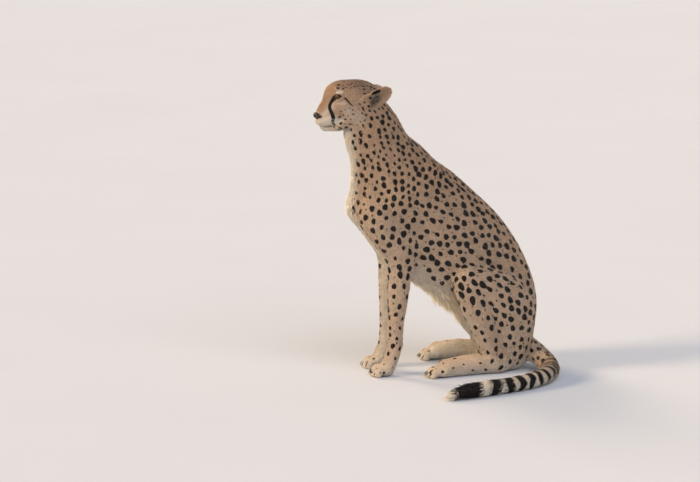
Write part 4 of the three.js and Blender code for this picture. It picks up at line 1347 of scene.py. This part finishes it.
LOCK_SPAN = np.stack([[0, *[-0.4, 0.4, 0] * 3, 0], np.linspace(-0.5, 0.5, 11)], 1)
# where the belly fringe is tinted golden as a painted warm backlight
BELLY_PAINTED_BACKLIGHT = ((-20, 0, 270), np.array([110, 90, 110]), 1)


def tube_faces(rings, corners, ends="points"):
    """Faces of a closed tube of rings of corners: first comes its root point and last its tip, or else
    the end rings themselves are filled."""
    i, j = np.indices((rings - 1, corners)).reshape(2, -1)
    first = int(ends == "points")
    a, b, k = first + i * corners, first + (i + 1) * corners, (j + 1) % corners
    made = [(a + j, a + k, b + k), (a + j, b + k, b + j)]
    last = first + (rings - 1) * corners
    if ends == "points":
        j, k = np.arange(corners), (np.arange(corners) + 1) % corners
        made += [(0 * j, 1 + k, 1 + j), (last + j, last + k, 0 * j + last + corners)]
    else:
        j = np.arange(1, corners - 1)
        made += [(0 * j, j + 1, j), (last + 0 * j, last + j, last + j + 1)]
    return np.vstack([np.stack(three, 1) for three in made])


LOCK = tube_faces(len(LOCK_WIDTHS), 3)


def spindles(root, way, n, length, width, lift, droop, curl):
    """Each spindle's centre line is root + L (t way' + t^2 (droop down + curl side)), way' being the lie
    lifted off."""
    side = np.cross(n, way)
    start = unit(way + n * lift[:, None])
    bend = np.array([0, 0, -1.0]) * droop[:, None] + side * curl[:, None] + way * 0.25
    t = LOCK_STEPS[None, :, None]
    line = root[:, None] + length[:, None, None] * (t * start[:, None] * 0.8 + t**2 * bend[:, None] * 0.4)
    rings = []
    for i, wide in enumerate(LOCK_WIDTHS):
        centre = line[:, i + 1]
        half = side * (width * wide / 2)[:, None]
        rings += [centre - half, centre + half, centre + n * (width * wide * 0.45)[:, None]]
    return np.stack([line[:, 0] - n * 0.8, *rings, line[:, 4]], 1)


def long_locks():
    """Locks sown by their own density, each bent down by its droop and to one side by a random curl."""
    rng = np.random.default_rng(LOCKS["seed"])
    face, share, root, n, way = sow(rng, LOCKS["none"], LOCK_PLACES, lambda p: p[:, 2] > 4)
    way = unit(way + rng.normal(0, 0.14, root.shape))
    count = len(root)
    plan = by_place(root, LOCKS["none"], LOCK_PLACES) * rng.uniform(0.75, 1.15, (count, 1))
    length, width, _, lift, droop = plan.T
    length = length * rng.uniform(0.62, 1.2, count)
    verts = spindles(root, way, n, length, width, lift, droop, rng.normal(0, 0.26, count))
    verts[..., 2] = np.maximum(verts[..., 2], 0.6)
    corners = verts.shape[1]
    # a random tone for each lock, times painted shade at its root that lightens towards the tip
    light = rng.uniform(0.9, 1.12, count)[:, None, None] * np.linspace(0.86, 1.1, corners)[None, :, None]
    tone, edge = marked(np.repeat((root + n * 2)[:, None], corners, 1), n, light)
    # painted backlight: the belly's locks are tinted warmer, more red and less blue, as if lit golden from
    # behind
    tone = tone * (1 + nearness(root, *BELLY_PAINTED_BACKLIGHT)[:, None, None] * np.array([0.12, 0.04, -0.1]))
    uv = patch_uv(face, share, LOCK_SPAN)
    for name, side in SIDES:
        mine = (root[:, 1] >= 0) == (side > 0)
        coat_piece(f"locks_{name}", LOCK, verts[mine], uv[mine], tone[mine], edge[mine])


long_locks()


EAR_FRINGE = {"seed": 31, "count": 190, "width": 1.0, "lift": 0.25}


def ear_fringe():
    """Pale hairs from the front rim of each ear, swept back across its hollow, and dimmed by painted shade.
    """
    rng = np.random.default_rng(EAR_FRINGE["seed"])
    for name, side in SIDES:
        along, across, facing = ear_axes(side)
        front = across if across[2] < 0 else -across
        count = EAR_FRINGE["count"]
        u = rng.uniform(-6, 50, count)
        c = rng.uniform(4, 27, count) * rng.choice([1, 1, -0.7], count)
        sheet = EAR["cup"] * (c / EAR["width"]) ** 2 * (1 - EAR["flatter"] * np.clip((u + 16) / 89, 0, 1))
        root = on_side(EAR["root"], side) + along * u[:, None]
        root = root + front * c[:, None] + facing * (sheet + 2)[:, None]
        way = unit(along * 0.8 - front * (c / 30)[:, None] + facing * 0.3 + rng.normal(0, 0.15, (count, 3)))
        length = rng.uniform(11, 20, count) * np.clip(1.2 - u / 70, 0.4, 1)
        width, lift = np.full(count, EAR_FRINGE["width"]), np.full(count, EAR_FRINGE["lift"])
        n = np.repeat(facing[None], count, 0)
        verts = spindles(root, way, n, length, width, lift, 0 * u, rng.normal(0, 0.2, count))
        # pale sand and cream hair, dimmed to about two thirds as painted shade inside the ear
        tone = (SAND * 0.45 + CREAM * 0.2) * rng.uniform(0.75, 1.1, (count, 1, 1))
        tone = np.repeat(tone, verts.shape[1], 1)
        uv = patch_uv(nearest_face(root), np.full((count, 3), 1 / 3), LOCK_SPAN)
        coat_piece(f"ear_fringe_{name}", LOCK, verts, uv, tone, np.full(verts.shape[:2], FAR))


def nearest_face(p):
    """The face of the skin whose middle lies nearest to each place."""
    middle = points[faces].mean(1)
    near_by = np.nonzero(((middle > p.min(0) - 12) & (middle < p.max(0) + 12)).all(1))[0]
    apart = ((p[:, None] - middle[near_by][None]) ** 2).sum(2)
    return near_by[apart.argmin(1)]


ear_fringe()

# ----------------------------------------------------------------------------------------------- the eyes
# An eyeball 33 mm across, with a clear cornea that bulges over an amber iris, a round pupil and a dark
# rim. It is one wet, glossy ball; the lids of the skin close over it.

IRIS = {"pupil": 3.6, "iris": 9.0, "ramp": 16, "bulge": 1.5, "bulge_to": 42}
EYE_TURNS = 64


def eyeball(name, side):
    """Rings round the gaze: the radius is r + bulge (1 - (angle / bulge_to)^2)^2 over the cornea, and r
    behind it."""
    gaze, back, up = eye_axes(side)
    angle = np.radians(np.concatenate([np.linspace(0.6, 60, 44), np.linspace(64, 179.4, 22)]))
    turn = np.linspace(0, 2 * np.pi, EYE_TURNS, endpoint=False)
    share = np.clip(1 - (angle / np.radians(IRIS["bulge_to"])) ** 2, 0, 1)
    radius = EYE["r"] - 0.3 + IRIS["bulge"] * share**2
    out = np.cos(turn)[None, :, None] * back + np.sin(turn)[None, :, None] * up
    at = radius[:, None, None] * (np.cos(angle)[:, None, None] * gaze + np.sin(angle)[:, None, None] * out)
    verts = np.vstack([gaze * radius[0], at.reshape(-1, 3), -gaze * radius[-1]]) + on_side(EYE["at"], side)
    polygons = tube_faces(len(angle), EYE_TURNS)[:, ::side]  # on the left, the rings turn the other way
    ball = new_mesh(name, verts, polygons)
    from_axis = np.concatenate([[0], np.repeat(angle, EYE_TURNS), [np.pi]]) * EYE["r"]
    spoke = np.concatenate([[0], np.tile(turn, len(angle)), [0]])
    store(ball, "from_axis", "FLOAT", from_axis)
    store(ball, "spokes", "FLOAT_VECTOR", np.stack([np.cos(spoke), np.sin(spoke), from_axis * 0.02], 1))
    ball.data.materials.append(EYE_LOOK)
    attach(ball, "root")
    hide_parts(name)


def eye_material():
    """A wet cornea over the iris: gold round the pupil, amber-brown outside it with fine spokes, and a
    dark rim."""
    material, tree = new_material("wet eye")
    from_axis = add_node(tree, "ShaderNodeAttribute", {}, attribute_name="from_axis").outputs["Fac"]
    spokes = add_node(tree, "ShaderNodeAttribute", {}, attribute_name="spokes").outputs["Vector"]
    inputs = {"Vector": spokes, "Scale": 11.0, "Detail": 4.0, "Roughness": 0.7}
    fibres = add_node(tree, "ShaderNodeTexNoise", inputs)
    ring = add_node(tree, "ShaderNodeMapRange", {"Value": from_axis, "From Max": float(IRIS["ramp"])})
    ramp = add_node(tree, "ShaderNodeValToRGB", {"Fac": ring.outputs[0]})
    pupil, iris = IRIS["pupil"] / IRIS["ramp"], IRIS["iris"] / IRIS["ramp"]
    stops = [
        (0.0, "#050403"), (pupil - 0.012, "#050403"), (pupil + 0.012, "#6E4515"), (0.34, "#744A1C"),
        (0.46, "#553414"), (iris - 0.03, "#2E1B0E"), (iris + 0.02, "#120C09"), (0.8, "#1C130E"),
    ]
    elements = ramp.color_ramp.elements
    while len(elements) < len(stops):
        elements.new(1.0)
    for element, (where, colour) in zip(elements, stops):
        element.position = where
        element.color = (*from_hex(colour), 1)
    dapple = add_node(tree, "ShaderNodeMapRange", {
        "Value": fibres.outputs["Fac"], "From Min": 0.35, "From Max": 0.65, "To Min": 0.65, "To Max": 1.25,
    })
    inputs = {0: ramp.outputs["Color"], 1: dapple.outputs[0]}
    colour = add_node(tree, "ShaderNodeVectorMath", inputs, operation="MULTIPLY")
    inputs = {"Height": fibres.outputs["Fac"], "Strength": 0.04, "Distance": 0.0003}
    bump = add_node(tree, "ShaderNodeBump", inputs)
    return finish(material, tree, {
        "Base Color": colour.outputs[0], "Normal": bump.outputs[0], "Roughness": 0.08, "IOR": 1.376,
        "Specular IOR Level": 0.25, "Coat Weight": 0.7, "Coat Roughness": 0.02, "Coat IOR": 1.34,
    })


EYE_LOOK = eye_material()
for name, side in SIDES:
    eyeball(f"eye_{name}", side)

# ----------------------------------------------------------------------------------------------- the nose
# A pad of bare, finely pebbled black skin: a blunt wedge with comma-shaped nostrils, split below by the
# lip's cleft.

NOSE = Mass((-466, 0, 900), (14, 16, 11.5), -25, 4)
NOSE_WINGS = [Mass((-462, 12.5, 895), (13, 7.5, 8), -22, 4, side) for _, side in SIDES]
NOSTRILS = [Swept([(-484, 6.6, 896, 3.0, 1), (-475, 8.0, 897, 3.6, 1), (-472, 13, 897.5, 3.0, 1),
                   (-469, 17.5, 898.5, 2.1, 1), (-462, 21, 900, 1.3, 1), (-455, 22, 901, 0.8, 1)], 2, side)
            for _, side in SIDES]
NOSE_CLEFT = Swept([(-482, 0, 905, 0.9, 1), (-481, 0, 894, 1.5, 1), (-475, 0, 885, 1.9, 1)], 2)


def nose_form(p):
    """An ellipsoid with two wings, flattened on top, less its nostrils and its cleft."""
    d = NOSE.value(p)
    for wing in NOSE_WINGS:
        d = soft_min(d, wing.value(p), 3)
    d = soft_max(d, p[:, 2] - 907 + 0.32 * (p[:, 0] + 466), 4)
    for hole in NOSTRILS:
        d = soft_max(d, -hole.value(p), 1.4)
    return soft_max(d, -NOSE_CLEFT.value(p), 1.4)


NOSE_NET = {"low": np.array([-486.0, -22, 880]), "cells": (36, 41, 36), "cell": 1.1}


def nose():
    """The pad's form, netted in small cells and settled on itself."""
    axes = [low + np.arange(n) * NOSE_NET["cell"] for low, n in zip(NOSE_NET["low"], NOSE_NET["cells"])]
    grid = np.stack(np.meshgrid(*axes, indexing="ij"), -1)
    values = nose_form(grid.reshape(-1, 3)).reshape(grid.shape[:3])
    values[[0, -1]], values[:, [0, -1]], values[:, :, [0, -1]] = 1, 1, 1
    verts, polygons = first_net(values, NOSE_NET["low"], NOSE_NET["cell"])
    for _ in range(2):
        value = nose_form(verts)
        g = slope(nose_form, verts, value, 0.15)
        verts = verts - g * (value / np.maximum((g * g).sum(1), 0.3))[:, None] * 0.8
        verts = even_out(verts, polygons, 0.25)
    pad = new_mesh("nose", verts, polygons)
    pad.data.materials.append(nose_material())
    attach(pad, "root")
    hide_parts("nose")


def nose_material():
    """Nose leather: moist black skin, pebbled by grains 0.7 mm across."""
    material, tree = new_material("nose leather")
    place = add_node(tree, "ShaderNodeTexCoord", {}).outputs["Object"]
    grains = add_node(tree, "ShaderNodeTexVoronoi", {"Vector": place, "Scale": 1300.0}, feature="SMOOTH_F1")
    cloud = add_node(tree, "ShaderNodeTexNoise", {"Vector": place, "Scale": 260.0, "Detail": 3.0})
    colour = add_node(tree, "ShaderNodeMix", {
        0: cloud.outputs["Fac"], 6: (*from_hex("#0D0A09"), 1), 7: (*from_hex("#211A18"), 1),
    }, data_type="RGBA")
    wet = add_node(tree, "ShaderNodeMapRange", {
        "Value": grains.outputs["Distance"], "From Max": 0.8, "To Min": 0.3, "To Max": 0.55,
    })
    bump = add_node(tree, "ShaderNodeBump", {
        "Height": grains.outputs["Distance"], "Strength": 0.6, "Distance": 0.0004,
    }, invert=True)
    return finish(material, tree, {
        "Base Color": colour.outputs[2], "Normal": bump.outputs[0], "Roughness": wet.outputs[0],
        "IOR": 1.45, "Coat Weight": 0.25, "Coat Roughness": 0.25,
    })


nose()

# ---------------------------------------------------------------------------------------------- the claws
# Blunt, half-drawn claws of dark horn, sixteen in all: a cone carried along an arc, forward and down out
# of each toe.

CLAW_RINGS, CLAW_CORNERS = 11, 10


def claw_mesh(root):
    """Rings along an arc whose pitch goes from first to last degrees; the radius is r (1 - 0.96 t^1.6),
    and each ring is taller than it is wide."""
    t = np.linspace(0, 1, CLAW_RINGS)
    pitch = np.radians(CLAW["first"] + (CLAW["last"] - CLAW["first"]) * t)
    step = np.stack([-np.cos(pitch), 0 * t, -np.sin(pitch)], 1) * CLAW["length"] / (CLAW_RINGS - 1)
    line = root + np.vstack([np.zeros(3), np.cumsum(step[:-1], axis=0)])
    up = np.stack([-np.sin(pitch), 0 * t, np.cos(pitch)], 1)
    turn = np.linspace(0, 2 * np.pi, CLAW_CORNERS, endpoint=False)
    radius = CLAW["radius"] * (1 - 0.96 * t**1.6)
    ring = np.cos(turn)[None, :, None] * np.array([0, 0.72, 0]) + np.sin(turn)[None, :, None] * up[:, None]
    return line[:, None] + ring * radius[:, None, None]


def streaked(name, place, scale, colours, bump, shader):
    """A material whose shade and relief follow one noise: its scale and detail, two colours, and the
    bump's strength and depth in metres."""
    material, tree = new_material(name)
    at = add_node(tree, "ShaderNodeTexCoord", {}).outputs["Object"]
    if place:
        at = add_node(tree, "ShaderNodeMapping", {"Vector": at, "Scale": place}).outputs[0]
    noise = add_node(tree, "ShaderNodeTexNoise", {"Vector": at, "Scale": scale[0], "Detail": scale[1]})
    grain = noise.outputs["Fac"]
    shades = {6: (*from_hex(colours[0]), 1), 7: (*from_hex(colours[1]), 1)}
    colour = add_node(tree, "ShaderNodeMix", {0: grain} | shades, data_type="RGBA")
    relief = add_node(tree, "ShaderNodeBump", {"Height": grain, "Strength": bump[0], "Distance": bump[1]})
    return finish(material, tree, {"Base Color": colour.outputs[2], "Normal": relief.outputs[0]} | shader)


def claws():
    """Horn is smooth and dark, paler and streaked along its length. Rings turn against the arc, so faces
    are reversed."""
    horn = streaked("claw horn", (120.0, 900.0, 500.0), (1.0, 3.0), ("#1B1512", "#4A3C32"), (0.25, 0.0003),
                    {"Roughness": 0.36, "IOR": 1.55})
    shape = tube_faces(CLAW_RINGS, CLAW_CORNERS, "filled")[:, ::-1]
    for foot, roots in claw_roots().items():
        verts = np.vstack([claw_mesh(root).reshape(-1, 3) for root in roots])
        polygons = np.vstack([shape + i * CLAW_RINGS * CLAW_CORNERS for i in range(TOES)])
        piece = new_mesh(f"claws_{foot}", verts, polygons)
        piece.data.materials.append(horn)
        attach(piece, "root")
        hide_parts(*[f"claw_{foot}_{i + 1}" for i in range(TOES)])


claws()

# ------------------------------------------------------------------------------------------- the whiskers
# Stiff white whiskers in four rows on each upper lip, and a few over each eye, swept back and down.

WHISKERS = {"seed": 3, "length": (42, 78), "brow": (26, 38), "radius": 0.42, "tip": 0.05, "rings": 12}
WHISKER_BEND = np.array([0.35, 0, -0.28])


def whiskers():
    """Each is a tapering three-sided tube along root + L (t way + t^2 bend), its radius r (1 - t) and a
    little more. Whisker hair is stiff and white, with a faint warm streak."""
    rng = np.random.default_rng(WHISKERS["seed"])
    planted = []
    for _, side in SIDES:
        for row in range(4):
            for k in range(4):
                root = (-458 + 8.5 * k + row, 19 + 3.4 * k, 889 - 5.5 * row)
                way = (-0.15 + 0.28 * k, 0.95 - 0.08 * k, 0.12 - 0.16 * row)
                planted.append((on_side(root, side), on_side(way, side), rng.uniform(*WHISKERS["length"])))
        for k in range(3):
            root, way = (-404 + 5 * k, 34 + 3 * k, 985 + k), (-0.35 + 0.2 * k, 0.5, 0.7)
            planted.append((on_side(root, side), on_side(way, side), rng.uniform(*WHISKERS["brow"])))
    root, way, length = (np.array(part) for part in zip(*planted))
    way = unit(way)
    way = unit(way + rng.normal(0, 0.07, way.shape))
    t = np.linspace(0, 1, WHISKERS["rings"])
    run = t[:, None] * way[:, None] + (t**2)[:, None] * WHISKER_BEND
    line = root[:, None] + length[:, None, None] * run
    side_axis = unit(np.cross(way, [0.0, 0, 1]))
    up_axis = np.cross(side_axis, way)
    turn = np.radians([90, 210, 330])[:, None]
    ring = (np.cos(turn) * side_axis[:, None] + np.sin(turn) * up_axis[:, None])[:, None]
    verts = line[:, :, None] + ring * (WHISKERS["radius"] * (1 - t) + WHISKERS["tip"])[:, None, None]
    span = np.stack([np.tile([-0.4, 0.4, 0.0], len(t)), np.repeat(np.linspace(-0.5, 0.5, len(t)), 3)], 1)
    uv = patch_uv(nearest_face(root), np.full((len(root), 3), 1 / 3), span)
    white = streaked("white whisker", None, (150.0, 2.0), ("#D8CFC2", "#F6F1E8"), (0.1, 0.0002),
                     {"Roughness": 0.35, "IOR": 1.55})
    shape = tube_faces(len(t), 3, "filled")[:, ::-1]
    tufts("whiskers", shape, verts.reshape(len(root), -1, 3), uv, white)


whiskers()

# ----------------------------------------------------------------------------------- the floor and lights
# A plain pale studio floor, and three broad soft lights: a warm key low from the front left, a dim cool
# fill from the viewer's side, and a warm one behind for the rim of the coat.


def floor():
    """A sheet 60 m across: flat to 16 m from its middle, and then it rises as 5 m ((r - 16) / 12)^2."""
    metres = np.arange(-30, 31)
    x, y = np.meshgrid(metres, metres, indexing="ij")
    rise = 5 * np.clip((np.hypot(x, y) - 16) / 12, 0, 1.2) ** 2
    verts = np.stack([x, y, rise - OFFSET[2]], -1).reshape(-1, 3) * 1000
    i, j = np.indices((60, 60)).reshape(2, -1)
    a, b = i * 61 + j, i * 61 + j + 1
    sheet = new_mesh("floor", verts, np.stack([a, a + 61, b + 61, b], 1))
    sheet.data.materials.append(streaked(
        "studio floor", None, (1.4, 3.0), ("#D2D5DB", "#D8DBE0"), (0.02, 0.001), {"Roughness": 0.85},
    ))


floor()


def soft_sun(name, turn, height, spread, power, colour):
    """A broad distant light: turn is its bearing from -Y towards -X, and height its angle above the
    floor."""
    data = bpy.data.lights.new(name, "SUN")
    data.angle, data.energy, data.color = np.radians(spread), power, from_hex(colour)
    lamp = bpy.data.objects.new(name, data)
    a, h = np.radians([turn, height])
    towards = np.array([-np.sin(a) * np.cos(h), -np.cos(a) * np.cos(h), np.sin(h)])
    right = unit(np.cross(-towards, [0.0, 0, 1]))
    axes = np.column_stack([right, np.cross(right, -towards), towards, np.zeros(3)])
    lamp.matrix_world = Matrix([*axes, (0, 0, 0, 1)])
    bpy.context.scene.collection.objects.link(lamp)


soft_sun("key", 84, 19, 18, 3.3, "#FFE3BC")
soft_sun("fill", -12, 46, 50, 1.25, "#F1F3FF")
soft_sun("rim", 150, 36, 22, 1.4, "#FFE2BD")

world = bpy.data.worlds.new("studio")
bpy.context.scene.world = world
world.use_nodes = True
air = world.node_tree.nodes["Background"].inputs
air["Color"].default_value = (*from_hex("#E6EAF2"), 1)
air["Strength"].default_value = 0.42
bpy.context.scene.view_settings.view_transform = "Standard"
